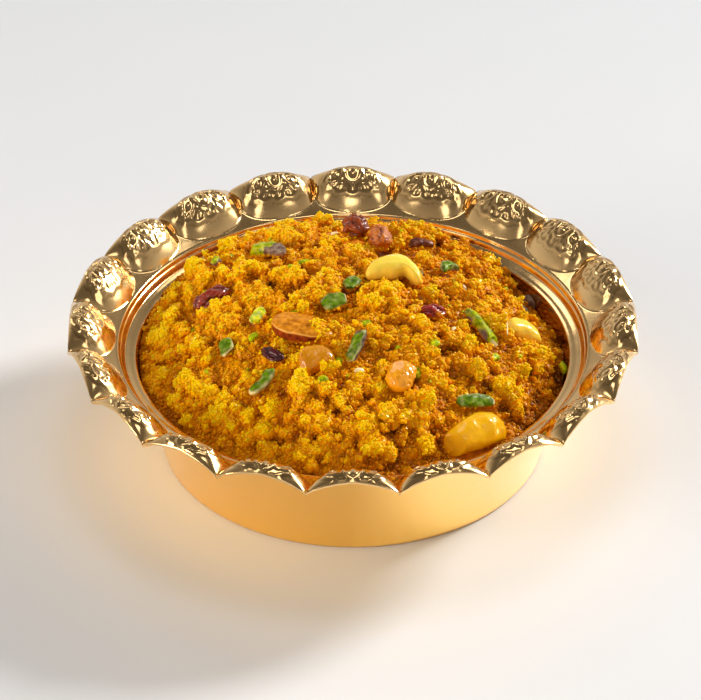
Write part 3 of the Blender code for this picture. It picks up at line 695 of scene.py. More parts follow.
def clouded_skin(name, cloud_size, share, stops, bump_size, strength, depth, finish):
    """The surface of a nut or a raisin: two tones in clouds, led by the painted shade stored on its
    points as its shade attribute, over fine bumps. The clouds and the bumps are sized in millimetres,
    the bumps' depth in metres."""
    material, tree, shader, coords = start_material(name)
    shade = add_node(tree, "ShaderNodeAttribute", attribute_name="shade")
    cloud, fine = (
        add_node(tree, "ShaderNodeTexNoise",
                 {"Vector": coords, "Scale": grain_scale(size), "Detail": detail})
        for size, detail in ((cloud_size, 4.0), (bump_size, 3.0)))
    total = add_node(tree, "ShaderNodeMath",
                     {0: cloud.outputs["Fac"], 1: share, 2: shade.outputs["Fac"]},
                     operation="MULTIPLY_ADD")
    colour = add_node(tree, "ShaderNodeValToRGB", {"Fac": total.outputs[0]}, stops=stops)
    bump = add_node(tree, "ShaderNodeBump",
                    {"Height": fine.outputs["Fac"], "Strength": strength, "Distance": depth})
    set_inputs(tree, shader, {"Base Color": under_crumbs(tree, colour.outputs["Color"]),
                              "Normal": bump.outputs[0], **finish})
    return material


def glazed_nut(name, pale, deep):
    """Cashew flesh glazed with ghee: waxy, faintly mottled, glowing at thin edges."""
    return clouded_skin(name, 6.0, 0.6, ((0.15, pale), (0.95, deep)), 1.5, 0.6, 0.0003, {
        "Roughness": 0.24, "Subsurface Weight": 0.35, "Subsurface Radius": (1.0, 0.6, 0.2),
        "Subsurface Scale": 0.0012, "Specular IOR Level": 0.25, "Coat Weight": 0.3,
        "Coat Roughness": 0.08})


def raisin_skin(name, dark, bright, wet):
    """Raisin swollen in ghee: a wet, thin brown skin, with painted shade that darkens its folds, so
    that it shows amber on its stretched ridges.
    """
    return clouded_skin(name, 3.0, 0.5, ((0.3, dark), (1.0, bright)), 0.9, 0.4, 0.0002, {
        "Roughness": 0.3, "Subsurface Weight": 0.15, "Subsurface Radius": (1.0, 0.3, 0.1),
        "Subsurface Scale": 0.0015, "Specular IOR Level": 0.2, "Coat Weight": wet,
        "Coat Roughness": 0.07})


def skinned_nut(name, flesh, skin, pale, gloss=0.4):
    """Cut nut, pale at its cut edges, that keeps papery skin where the skin attribute says: a dull
    surface with flecks, and only a thin gloss of ghee."""
    material, tree, shader, coords = start_material(name)
    cover, rim = (add_node(tree, "ShaderNodeAttribute", attribute_name=mark)
                  for mark in ("skin", "edge"))
    fleck = add_node(tree, "ShaderNodeTexNoise",
                     {"Vector": coords, "Scale": grain_scale(1.8), "Detail": 5.0})
    inside, outside = (
        add_node(tree, "ShaderNodeValToRGB", {"Fac": fleck.outputs["Fac"]}, stops=stops)
        for stops in (((0.32, flesh[0]), (0.68, flesh[1])), ((0.3, skin[0]), (0.7, skin[1]))))
    cut = add_node(tree, "ShaderNodeMix", {0: rim.outputs["Fac"], 6: inside.outputs["Color"],
                                           7: (*linear(pale), 1.0)}, data_type="RGBA")
    edge = add_node(tree, "ShaderNodeMath",
                    {0: fleck.outputs["Fac"], 1: 0.35, 2: cover.outputs["Fac"]},
                    operation="MULTIPLY_ADD")
    share = add_node(tree, "ShaderNodeMapRange", {0: edge.outputs[0], 1: 0.55, 2: 0.75})
    colour = add_node(tree, "ShaderNodeMix", {0: share.outputs[0], 6: cut.outputs[2],
                                              7: outside.outputs["Color"]}, data_type="RGBA")
    bump = add_node(tree, "ShaderNodeBump",
                    {"Height": fleck.outputs["Fac"], "Strength": 0.8, "Distance": 0.0005})
    set_inputs(tree, shader, {
        "Base Color": under_crumbs(tree, colour.outputs[2]), "Normal": bump.outputs[0],
        "Roughness": gloss, "Specular IOR Level": 0.08, "Coat Weight": 0.07, "Coat Roughness": 0.12})
    return material


def matte_table(settings):
    """Laminate pressed with a matt film: plain and pale, it mirrors nothing. Its colour is painted a
    little darker towards the back, as painted shade where the light falls off."""
    material, tree, shader, coords = start_material("matt_laminate")
    parts = add_node(tree, "ShaderNodeSeparateXYZ", {0: coords})
    mottle = add_node(tree, "ShaderNodeTexNoise",
                      {"Vector": coords, "Scale": grain_scale(60.0), "Detail": 2.0})
    # Painted shade: darker towards the back, with a faint mottle.
    place = add_node(tree, "ShaderNodeMath",
                     {0: mottle.outputs["Fac"], 1: 0.06, 2: parts.outputs["Y"]},
                     operation="MULTIPLY_ADD")
    colour = add_node(tree, "ShaderNodeValToRGB", {"Fac": place.outputs[0]},
                      stops=((0.04, "#E4E5E7"), (0.34, "#D8DADD")))
    set_inputs(tree, shader, {"Base Color": colour.outputs["Color"],
                              "Roughness": settings.table_roughness})
    return material


# ---------------------------------------------------------------- Geometry Nodes: what lies scattered
def scatter_tree(join):
    """Scatters shapes from a collection over a mesh: more where the density attribute is high."""
    tree = bpy.data.node_groups.new("scatter_joined" if join else "scatter", "GeometryNodeTree")
    sockets = {}
    numbers = ("Spacing", "Density", "Smallest", "Largest", "Skew", "Lift")
    for label, kind in (("Geometry", "Geometry"), ("Shapes", "Collection"),
                        *((label, "Float") for label in numbers),
                        ("Seed", "Int"), ("Finish", "Material")):
        sockets[label] = tree.interface.new_socket(name=label, in_out="INPUT",
                                                   socket_type=f"NodeSocket{kind}").identifier
    tree.interface.new_socket(name="Geometry", in_out="OUTPUT", socket_type="NodeSocketGeometry")
    given = add_node(tree, "NodeGroupInput").outputs
    density = add_node(tree, "GeometryNodeInputNamedAttribute", {"Name": "bare"}, data_type="FLOAT")
    points = add_node(tree, "GeometryNodeDistributePointsOnFaces",
                      {"Mesh": given["Geometry"], "Distance Min": given["Spacing"],
                       "Density Max": given["Density"], "Seed": given["Seed"],
                       "Density Factor": density.outputs["Attribute"]},
                      distribute_method="POISSON")
    chance = add_node(tree, "FunctionNodeRandomValue", {"Seed": given["Seed"]}, data_type="FLOAT")
    skewed = add_node(tree, "ShaderNodeMath", {0: chance.outputs[1], 1: given["Skew"]},
                      operation="POWER")
    size = add_node(tree, "ShaderNodeMapRange", {0: skewed.outputs[0], 3: given["Smallest"],
                                                 4: given["Largest"]})
    room = add_node(tree, "GeometryNodeInputNamedAttribute", {"Name": "room"}, data_type="FLOAT")
    scale = add_node(tree, "ShaderNodeMath", {0: size.outputs[0], 1: room.outputs["Attribute"]},
                     operation="MULTIPLY")
    turn = add_node(tree, "FunctionNodeRandomValue", {1: (math.tau,) * 3, "Seed": given["Seed"]},
                    data_type="FLOAT_VECTOR")
    up = add_node(tree, "ShaderNodeMath", {0: scale.outputs[0], 1: given["Lift"]},
                  operation="MULTIPLY")
    push = add_node(tree, "ShaderNodeVectorMath",
                    {0: points.outputs["Normal"], "Scale": up.outputs[0]}, operation="SCALE")
    moved = add_node(tree, "GeometryNodeSetPosition", {"Geometry": points.outputs["Points"],
                                                       "Offset": push.outputs[0]})
    shapes = add_node(tree, "GeometryNodeCollectionInfo",
                      {"Collection": given["Shapes"], "Separate Children": True,
                       "Reset Children": True})
    placed = add_node(tree, "GeometryNodeInstanceOnPoints",
                      {"Points": moved.outputs["Geometry"], "Instance": shapes.outputs[0],
                       "Pick Instance": True, "Rotation": turn.outputs[0], "Scale": scale.outputs[0]})
    tone = add_node(tree, "FunctionNodeRandomValue", {2: -0.5, 3: 0.5, "Seed": 7}, data_type="FLOAT")
    toned = add_node(tree, "GeometryNodeStoreNamedAttribute",
                     {"Geometry": placed.outputs[0], "Name": "tone", "Value": tone.outputs[1]},
                     data_type="FLOAT", domain="INSTANCE")
    real = add_node(tree, "GeometryNodeRealizeInstances", {"Geometry": toned.outputs[0]})
    result = real.outputs[0]
    if join:
        both = add_node(tree, "GeometryNodeJoinGeometry", {"Geometry": given["Geometry"]})
        tree.links.new(real.outputs[0], both.inputs[0])
        result = both.outputs[0]
    finish = add_node(tree, "GeometryNodeSetMaterial",
                      {"Geometry": result, "Material": given["Finish"]})
    add_node(tree, "NodeGroupOutput", {"Geometry": finish.outputs[0]})
    return tree, sockets


def scatter(item, tree, sockets, **values):
    """Puts a scatter tree on an object and sets its inputs by their identifiers."""
    step = item.modifiers.new("scatter", "NODES")
    for label, value in values.items():
        step[sockets[label]] = value
    step.node_group = tree


def shape_collection(name, count, seed, build, detail):
    """A few unlike shapes of unit radius for scattering, made by one of the two functions below."""
    chance = random.Random(seed)
    shapes = bpy.data.collections.new(name)
    for index in range(count):
        bm = bmesh.new()
        build(bm, chance, detail)
        mesh = bpy.data.meshes.new(f"{name}_{index}")
        bm.to_mesh(mesh)
        bm.free()
        shapes.objects.link(bpy.data.objects.new(mesh.name, mesh))
    return shapes


def knobbly_crumb(bm, chance, subdivisions):
    """A crumb that is squashed and knobbly, never round."""
    bmesh.ops.create_icosphere(bm, subdivisions=subdivisions, radius=1.0)
    squash = Vector((1.0, chance.uniform(0.7, 1.0), chance.uniform(0.6, 0.9)))
    shift = Vector((chance.uniform(-50.0, 50.0) for _ in range(3)))
    for corner in bm.verts:
        broad = noise.noise(corner.co * 1.1 + shift)
        knobs = noise.noise(corner.co * 2.9 - shift)
        corner.co *= 1.0 + 0.5 * broad + 0.3 * knobs
        corner.co = Vector(a * b for a, b in zip(corner.co, squash))


def broken_grain(bm, chance, corners):
    """A broken grain: flat-sided, the hull of a few corners spread round it in a spiral."""
    for corner in range(corners):
        level = 1.0 - 2.0 * (corner + 0.5) / corners
        turn = 2.4 * corner + chance.uniform(-0.4, 0.4)
        out = math.sqrt(1.0 - level * level)
        far = chance.uniform(0.75, 1.15)
        bm.verts.new(Vector((out * math.cos(turn), out * math.sin(turn), level)) * far)
    bmesh.ops.convex_hull(bm, input=bm.verts)
    for face in bm.faces:
        face.smooth = True


def drop_collection(shapes):
    for item in list(shapes.objects):
        bpy.data.objects.remove(item, do_unlink=True)
    bpy.data.collections.remove(shapes)


# ---------------------------------------------------------------- settings
class BowlSettings(bpy.types.PropertyGroup):
    """What a user would change on the bowl."""

    brass: bpy.props.FloatVectorProperty(
        name="Rim colour", description="Polished brass of the rim", subtype="COLOR", size=3,
        default=linear("#F4CA8A"))
    body: bpy.props.FloatVectorProperty(
        name="Body colour", description="Satin brass outside the body", subtype="COLOR", size=3,
        default=linear("#FFCC5A"))
    polish: bpy.props.FloatProperty(
        name="Rim roughness", description="Roughness of the polished rim", subtype="FACTOR",
        default=0.11, min=0.0, max=1.0)
    satin: bpy.props.FloatProperty(
        name="Body roughness", description="Roughness of the satin body", subtype="FACTOR",
        default=0.36, min=0.0, max=1.0)
    lobe_columns: bpy.props.IntProperty(
        name="Columns in a lobe", description="Mesh columns across a lobe", default=72, min=12, max=96)


class HalwaSettings(bpy.types.PropertyGroup):
    """What a user would change on the halwa."""

    voxel: bpy.props.FloatProperty(
        name="Mesh step", description="Size of the smallest shape in the heap", unit="LENGTH",
        default=0.00078)
    lump_spacing: bpy.props.FloatProperty(
        name="Lump spacing", description="Least distance between lumps", unit="LENGTH", default=0.005)
    lump_smallest: bpy.props.FloatProperty(
        name="Smallest lump", description="Radius of the smallest lump", unit="LENGTH", default=0.0022)
    lump_largest: bpy.props.FloatProperty(
        name="Largest lump", description="Radius of the largest lump", unit="LENGTH", default=0.0062)
    gloss: bpy.props.FloatProperty(
        name="Gloss", description="Least roughness of the ghee on the crumbs", subtype="FACTOR",
        default=0.3, min=0.0, max=1.0)
    translucence: bpy.props.FloatProperty(
        name="Translucence", description="Light that passes through crumbs", subtype="FACTOR",
        default=0.6, min=0.0, max=1.0)


class StageSettings(bpy.types.PropertyGroup):
    """What a user would change on the table, the light and the camera."""

    table_roughness: bpy.props.FloatProperty(
        name="Table roughness", description="Roughness of the table top", subtype="FACTOR",
        default=0.6, min=0.0, max=1.0)
    key_power: bpy.props.FloatProperty(
        name="Key light", description="Power of the key light", subtype="POWER", unit="POWER",
        default=78.0)
    lens: bpy.props.FloatProperty(
        name="Lens", description="Focal length of the camera", unit="CAMERA", default=217.9)


# ---------------------------------------------------------------- operators
class HALWA_OT_bowl(bpy.types.Operator):
    """Make the pressed brass bowl with its embossed rim"""

    bl_idname = "halwa.bowl"
    bl_label = "Brass bowl"

    def execute(self, context):
        settings = context.scene.halwa_bowl
        plain = LOBES * PLAIN_COLUMNS
        rings = bowl_rings(LOBES * settings.lobe_columns, plain)
        points, groove, sides = (list(column) for column in zip(*rings))
        starts = np.cumsum([0] + [len(ring) for ring in points]).tolist()
        faces, finish = [], []
        for i in range(1, len(rings)):
            made = zip_faces(starts[i - 1], len(points[i - 1]), starts[i], len(points[i]))
            faces += [face[::-1] for face in made]
            finish += [sides[i]] * len(made)
        for first, height, side in ((0, FLOOR_THICKNESS, 0), (starts[-2], 0.0, 1)):
            points.append(np.array([[0.0, 0.0, height]]))
            groove.append(np.zeros(1))
            faces += fan_faces(first, plain, starts[-1] + side, flip=bool(side))
            finish += [side] * plain
        points = np.concatenate(points)
        finish_inside = polished_brass(settings)
        item = make_piece("bowl_metal", points, faces, finish_inside, sharp=42)
        item.data.materials.append(satin_brass(settings))
        item.data.polygons.foreach_set("material_index", finish)
        depth = np.concatenate(groove)
        store(item.data, "groove", np.clip(0.9 - depth * 2.2, 0.0, 1.0) * (depth > 0.01))
        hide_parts("bowl")
        return {"FINISHED"}


def heap_core():
    """The bare heap as a closed mesh, with how thick lumps may lie on it at each point.

    It lies a skin lower than the finished heap, because the lumps come on top, lower still under a
    topping and in front of a small one, which would sink in them, and a little lower at the back.
    """
    columns, steps = 300, 56
    angles = np.arange(columns) / columns * math.tau
    points, thick = [], []
    for step in range(1, steps + 1):
        radius = mass_radius(angles) * step / steps
        x, y = radius * np.cos(angles), radius * np.sin(angles)
        relief = np.array([heap_relief(a, b) for a, b in zip(x, y)])
        bare = np.minimum(bareness(x, y, 2.0, 0.9), bareness(x, y + 3.5, 2.5, 1.0, SMALL_TOPPINGS))
        fade = min(1.0, (1.0 - step / steps) * 10.0)
        height = dome_height(x, y) + relief * fade * bare - HEAP_SKIN * (1.0 - bare) - HEAP_SKIN
        height += edge_fill(angles) * (step / steps) ** 5
        behind = np.clip((y - 15.0) / 25.0, 0.0, 1.0)
        height -= BACK_DROP * behind * np.clip((x + 30.0) / 20.0, 0.0, 1.0)
        points.append(ring_points(radius, angles, height))
        thick.append(bare)
    bottom = FLOOR_THICKNESS + HEAP_FLOOR_GAP
    edge = heap_edge(angles)
    for step in (0.8, 0.6, 0.4, 0.2, 0.0):
        height = bottom + (edge - bottom) * step
        wall = wall_inside(np.maximum(height, BASE_ROUND))
        radius = np.minimum(wall, mass_radius(angles)) - HEAP_WALL_GAP
        points.append(ring_points(radius - 0.4 if step else radius - 1.6, angles, height))
        thick.append(np.zeros(columns))
    last = (len(points) - 1) * columns
    faces = []
    for first in range(0, last, columns):
        faces += [face[::-1] for face in zip_faces(first, columns, first + columns, columns)]
    top = float(dome_height(0.0, 0.0)) - HEAP_SKIN
    for first, height, flip in ((0, top, False), (last, bottom, True)):
        points.append(np.array([[0.0, 0.0, height]]))
        thick.append(np.ones(1))
        faces += fan_faces(first, columns, last + columns + flip, flip)
    return np.concatenate(points), faces, np.concatenate(thick)


def room_for_lumps(points):
    """How large a lump may be at each point: small by the wall and beside a topping."""
    x, y = points[:, 0], points[:, 1]
    to_wall = mass_radius(np.arctan2(y, x)) - np.hypot(x, y)
    return np.clip(to_wall / 9.0, 0.4, 1.0) * (0.45 + 0.55 * bareness(x, y, 6.0))


def smoothed_heights(points):
    """A map of the heap's surface, one cell a millimetre, blurred so that single clumps are gone."""
    half = int(CUSP_RADIUS) + 10
    cells = np.floor(points[:, :2]).astype(int) + half
    top = np.zeros((2 * half, 2 * half))
    np.maximum.at(top, (cells[:, 0], cells[:, 1]), points[:, 2])
    # Cells that hold only the hidden side of the heap don't count.
    weight = (top > SHELF_HEIGHT - 8.0).astype(float)
    reach = np.arange(-3 * RELIEF_BLUR, 3 * RELIEF_BLUR + 1)
    bell = np.exp(-(reach / RELIEF_BLUR) ** 2 / 2.0)
    maps = []
    for layer in (top * weight, weight):
        for turned in range(2):
            layer = np.apply_along_axis(np.convolve, turned, layer, bell, mode="same")
        maps.append(layer)
    return maps[0] / np.maximum(maps[1], 1e-6), half


def painted_shade_and_light(points, heights):
    """Painted shade and light for the halwa's colour: 0 in the gaps between the clumps, where shade is
    painted, 1 on their tops, from the height over the blurred surface, and painted light that makes it
    a little paler towards the left, the front and the left edge."""
    level, half = heights
    cells = np.floor(points[:, :2]).astype(int) + half
    above = points[:, 2] - level[cells[:, 0], cells[:, 1]]
    # Painted light: paler towards the left and the front, darker towards the right and the back, and
    # paler still along the heap's left edge.
    pale = sum(0.05 * np.clip(-points[:, axis] / 50.0, -1.0, 1.0) for axis in (0, 1))
    out = np.hypot(points[:, 0], points[:, 1])
    pale += 0.14 * np.clip((out - 58.0) / 10.0, 0.0, 1.0) * np.clip(-points[:, 0] / 40.0, 0.0, 1.0)
    # Painted shade: darker in the gaps between the clumps, lighter on their tops.
    return 0.12 + pale + 0.83 * np.clip((above + 3.2) / 6.0, 0.0, 1.0)


def keep_inside_bowl(points, gap):
    """Draws in whatever would cross the bowl's wall, and lowers what stands above the soft top."""
    out = np.hypot(points[:, 0], points[:, 1])
    most = room_inside(np.maximum(points[:, 2], BASE_ROUND)) - gap
    pull = np.minimum(1.0, most / np.maximum(out, 1e-6))
    points[:, 0] *= pull
    points[:, 1] *= pull
    high = points[:, 2] - SOFT_TOP
    lowered = SOFT_TOP + np.tanh(high / SOFT_RANGE) * SOFT_REACH
    points[:, 2] = np.where(high > 0.0, lowered, points[:, 2])
    points[:, 2] = np.maximum(points[:, 2], FLOOR_THICKNESS + LOOSE_GAP)
    return points


def cut_hidden_part(mesh):
    """Replaces the heap's hidden lower part by a plain closed foot that ends over the floor."""
    bm = bmesh.new()
    bm.from_mesh(mesh)
    everything = [*bm.verts, *bm.edges, *bm.faces]
    cut = bmesh.ops.bisect_plane(bm, geom=everything, plane_co=(0.0, 0.0, CUT_LEVEL * MM),
                                 plane_no=(0.0, 0.0, 1.0), clear_inner=True)
    edges = [part for part in cut["geom_cut"] if isinstance(part, bmesh.types.BMEdge)]
    foot = bmesh.ops.extrude_edge_only(bm, edges=edges)["geom"]
    corners = [part for part in foot if isinstance(part, bmesh.types.BMVert)]
    inset = float(wall_inside(FOOT_LEVEL) / wall_inside(CUT_LEVEL)) - 0.01
    for corner in corners:
        corner.co = Vector((corner.co.x * inset, corner.co.y * inset, FOOT_LEVEL * MM))
    rim = [part for part in foot if isinstance(part, bmesh.types.BMEdge)]
    loose = [edge for edge in rim if len(edge.link_faces) == 1]
    bmesh.ops.edgeloop_fill(bm, edges=loose)
    bmesh.ops.recalc_face_normals(bm, faces=bm.faces)
    bm.to_mesh(mesh)
    bm.free()


def settle_faces(mesh):
    """Puts a mesh's faces in one fixed order, because the fusing leaves another one each run."""
    points = points_of(mesh)
    faces = []
    for face in mesh.polygons:
        corners = list(face.vertices)
        first = corners.index(min(corners))
        faces.append(tuple(corners[first:] + corners[:first]))
    mesh.clear_geometry()
    mesh.from_pydata((points * MM).tolist(), [], sorted(faces))
    mesh.shade_smooth()


class HALWA_OT_heap(bpy.types.Operator):
    """Make the heap of halwa: a core with lumps scattered over it, fused to one ragged mass"""

    bl_idname = "halwa.heap"
    bl_label = "Halwa heap"

    def execute(self, context):
        settings = context.scene.halwa_food
        points, faces, bare = heap_core()
        finish = cooked_dal("fried_lentil_mass", settings, 0.12)
        item = make_piece("halwa_mass", points, faces, finish)
        store(item.data, "bare", bare)
        store(item.data, "room", room_for_lumps(points))
        lumps = shape_collection("lumps", count=12, seed=4, build=broken_grain, detail=13)
        tree, sockets = scatter_tree(join=True)
        scatter(item, tree, sockets, Shapes=lumps, Spacing=settings.lump_spacing, Density=90000.0,
                Smallest=settings.lump_smallest, Largest=settings.lump_largest, Skew=1.3, Lift=0.1,
                Seed=3, Finish=finish)
        fuse = item.modifiers.new("fuse", "REMESH")
        fuse.mode = "VOXEL"
        fuse.voxel_size = settings.voxel
        fuse.use_smooth_shade = True
        freeze(item)
        drop_collection(lumps)
        mesh = item.data
        mesh.materials.clear()
        mesh.materials.append(finish)
        cut_hidden_part(mesh)
        settle_faces(mesh)
        points = points_of(mesh)
        normals = np.array([corner.vector for corner in mesh.vertex_normals])
        grainy = np.array([noise.voronoi(Vector(point) / GRAIN_SIZE)[0][0] for point in points])
        rough = 0.9 * noise_at(points, 3.2, 3.0) + 0.9 * (0.35 - grainy)
        rough += 0.25 * noise_at(points, 1.1, 9.0)
        shown = np.clip((points[:, 2] - CUT_LEVEL - 1.0) / 4.0, 0.0, 1.0)
        points = keep_inside_bowl(points + normals * (rough * shown)[:, None], MASS_GAP)
        set_points(mesh, points)
        # Painted shade and light in the colour of the mass.
        store(mesh, "depth", painted_shade_and_light(points, smoothed_heights(points)))
        # The tone: random, and lighter on the raised grains of the relief and darker between them,
        # which is painted shade.
        store(mesh, "tone", noise_at(points, 9.0, 5.0) - 0.9 * (grainy - 0.35))
        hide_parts("halwa")
        return {"FINISHED"}


# Loose crumbs and grains: name, the function that makes their shapes and how detailed these are, the
# smallest and the largest radius and the spacing in metres, how strongly small ones prevail, the most
# of them on a square metre, how far they stand out, and the seed.
LOOSE = (
    ("small_crumbs", knobbly_crumb, 2, 0.0008, 0.0024, 0.0036, 1.8, 90000.0, 0.2, 21),
    ("golden_grains", broken_grain, 8, 0.0004, 0.0009, 0.00165, 1.2, 900000.0, 0.15, 22),
    ("amber_grains", broken_grain, 8, 0.0004, 0.0009, 0.00165, 1.2, 900000.0, 0.15, 23),
    ("pale_grains", broken_grain, 8, 0.0004, 0.0009, 0.00165, 1.2, 900000.0, 0.15, 25),
    ("fine_grains", broken_grain, 8, 0.00025, 0.00045, 0.00112, 1.2, 900000.0, 0.5, 24),
)


class HALWA_OT_grains(bpy.types.Operator):
    """Scatter small ragged crumbs and loose grains of dal over the heap"""

    bl_idname = "halwa.grains"
    bl_label = "Crumbs and grains"

    def execute(self, context):
        settings = context.scene.halwa_food
        mass = bpy.data.objects["halwa_mass"].data
        points = points_of(mass)
        heights = smoothed_heights(points)
        above = points[:, 2] - dome_height(points[:, 0], points[:, 1])
        shown = (above > -6.0) * (points[:, 2] > CUT_LEVEL + 2.0)
        open_halwa = bareness(points[:, 0], points[:, 1], 1.0, 0.75) * shown
        ground = [(mass, open_halwa, room_for_lumps(points) ** 0.6)]
        for row in TOPPINGS:
            mesh = bpy.data.objects[row[0] + "_piece"].data
            cover = read(mesh, "cover")
            ground.append((mesh, cover, np.full(len(cover), 0.8)))
        tree, sockets = scatter_tree(join=False)
        for name, build, detail, smallest, largest, spacing, skew, density, lift, seed in LOOSE:
            crumbs = build is knobbly_crumb
            shapes = shape_collection(name + "_shapes", count=8, seed=seed, build=build, detail=detail)
            finish = cooked_dal("fried_lentil_" + name, settings, 0.25)
            item = bpy.data.objects.new(name, joined(ground, grow=crumbs))
            context.scene.collection.objects.link(item)
            scatter(item, tree, sockets, Shapes=shapes, Spacing=spacing, Density=density,
                    Smallest=smallest, Largest=largest, Skew=skew, Lift=lift, Seed=seed,
                    Finish=finish)
            freeze(item)
            drop_collection(shapes)
            points = keep_inside_bowl(points_of(item.data), LOOSE_GAP)
            set_points(item.data, points)
            # The grains get the same painted shade and light as the mass.
            store(item.data, "depth", painted_shade_and_light(points, heights))
            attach(item, BODY)
            if crumbs:
                ground.append((item.data, np.ones(len(points)), np.ones(len(points))))
        return {"FINISHED"}


def joined(parts, grow):
    """One mesh of several, which says where things may lie on it and how large they may be."""
    bm = bmesh.new()
    for mesh, _, _ in parts:
        bm.from_mesh(mesh)
    whole = bpy.data.meshes.new("ground")
    bm.to_mesh(whole)
    bm.free()
    store(whole, "bare", np.concatenate([bare for _, bare, _ in parts]))
    room = np.concatenate([room for _, _, room in parts])
    store(whole, "room", room if grow else np.ones(len(room)))
    return whole


# ---------------------------------------------------------------- nuts and raisins
def spine_grid(count_along, count_around):
    """Places along a body, 0 to 1, bunched at its ends, and angles round it."""
    along = 0.5 - 0.5 * np.cos(np.linspace(0.0, math.pi, count_along))
    around = np.arange(count_around) / count_around * math.tau
    return np.meshgrid(along, around, indexing="ij")


def grid_faces(rows, columns):
    faces = []
    for row in range(rows - 1):
        faces += zip_faces(row * columns, columns, (row + 1) * columns, columns)
    faces.append(tuple(reversed(range(columns))))
    faces.append(tuple((rows - 1) * columns + i for i in range(columns)))
    return faces


def blunt(across, squareness, power):
    """How thick a body is along its length: 1 in the middle, 0 at both ends."""
    return np.maximum(0.0, 1.0 - np.abs(across) ** squareness) ** power


def as_points(x, y, z):
    """Three grids of coordinates as one list of points."""
    return np.stack([x.ravel(), y.ravel(), z.ravel()], axis=1)


def local_noise(x, y, z, size, seed):
    return noise_at(as_points(x, y, z), size, seed).reshape(x.shape)


def bumpy(grids, full, *bumps):
    """Swells and dents of a body; each of the bumps has a strength, a size and a seed."""
    return 1.0 + full * sum(strength * local_noise(*grids, size, seed)
                            for strength, size, seed in bumps)


def seated(row, x, y, z):
    """A body's points, from the grids of its own coordinates to its place on the heap."""
    local = np.stack([x.ravel(), y.ravel(), z.ravel(), np.ones(x.size)])
    return (np.array(seat(row)) @ local)[:3].T


def crumbs_on(points):
    """How thick crumbs lie on a topping: where it meets the heap, and on the patches in COVERED."""
    rise = points[:, 2] - dome_height(points[:, 0], points[:, 1])
    return np.maximum(0.8 * np.clip(1.0 - rise, 0.0, 1.0), covered(points[:, 0], points[:, 1]))


def pared(x, y, z, seed, sides, ends, keep):
    """Cuts flat facets into a body, as a knife or a break does: some along it, some at its ends."""
    chance = random.Random(seed)
    points = as_points(x, y, z)
    for cut in range(sides + ends):
        lean = chance.uniform(-0.25, 0.25) if cut < sides else chance.choice((-1.6, 1.6))
        turn = chance.uniform(0.0, math.tau)
        normal = np.array([lean, math.cos(turn), math.sin(turn)])
        normal /= np.linalg.norm(normal)
        off = points @ normal
        over = np.maximum(0.0, off - off.max() * (keep + chance.uniform(-0.06, 0.06)))
        points -= over[:, None] * normal
    return (points[:, i].reshape(x.shape) for i in range(3))


def topping(row, x, y, z, material, slot, **marks):
    """A topping from the grids of its own coordinates, seated on the heap, with its marks stored."""
    points = seated(row, x, y, z)
    item = make_piece(row[0] + "_piece", points, grid_faces(*x.shape), material, sharp=55)
    for name, values in marks.items():
        store(item.data, name, np.broadcast_to(values, x.shape).ravel())
    store(item.data, "cover", crumbs_on(points))
    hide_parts(row[0])


class HALWA_OT_cashews(bpy.types.Operator):
    """Make the cashews: kidney-shaped, with the seam of their two halves"""

    bl_idname = "halwa.cashews"
    bl_label = "Cashews"

    def execute(self, context):
        # cashew_2 and cashew_3 have paler colours as painted light, for the key light that falls full
        # on them.
        looks = {"cashew_1": ("#FFC600", "#D68A00", 0.82), "cashew_2": ("#FFE658", "#FFC426", 0.96),
                 "cashew_3": ("#FFE04C", "#FFBA18", 0.9), "cashew_4": ("#DE9400", "#9C5800", 0.97)}
        for seed, row in enumerate(CASHEWS):
            name = row[0]
            pale, deep, keep = looks[name]
            length, width, thickness, bend = row[7:]
            along, around = spine_grid(52, 48)
            across = 2.0 * along - 1.0
            taper = 0.82 + 0.3 * along if name == "cashew_1" else 1.06 - 0.24 * along
            full = blunt(across, 2.9, 0.5) * taper
            curve = bend * width * 0.45 * (1.0 - across ** 2) - bend * width * 0.2
            seam = np.exp(-((around - 1.5 * math.pi) / 0.16) ** 2)
            seam = seam + np.exp(-((around - 0.5 * math.pi) / 0.1) ** 2)
            swell = full * (1.0 - 0.05 * seam)
            x = across * length * 0.5
            notch = 0.62 * np.exp(-((across - 0.34) / 0.26) ** 2) if name == "cashew_2" else 0.0
            y = 0.5 * width * swell * np.cos(around) * (1.0 - notch * (np.cos(around) < 0.0))
            z = 0.5 * thickness * swell * np.sin(around)
            dent = bumpy((x, y, z), full, (0.14, 6.0, seed + 1.0), (0.06, 2.2, seed + 5.0))
            x, y, z = pared(x, y * dent, z * dent, seed + 3, 6, 3, keep)
            material = glazed_nut("ghee_glazed_" + name, pale, deep)
            # The shade mark is painted shade: the cashew is deeper in colour on its underside; it is
            # also deeper towards its two ends.
            topping(row, x, curve + y, z, material, "cashew",
                    shade=0.25 * (1.0 - np.sin(around)) * 0.5 + 0.2 * np.abs(across))
        return {"FINISHED"}


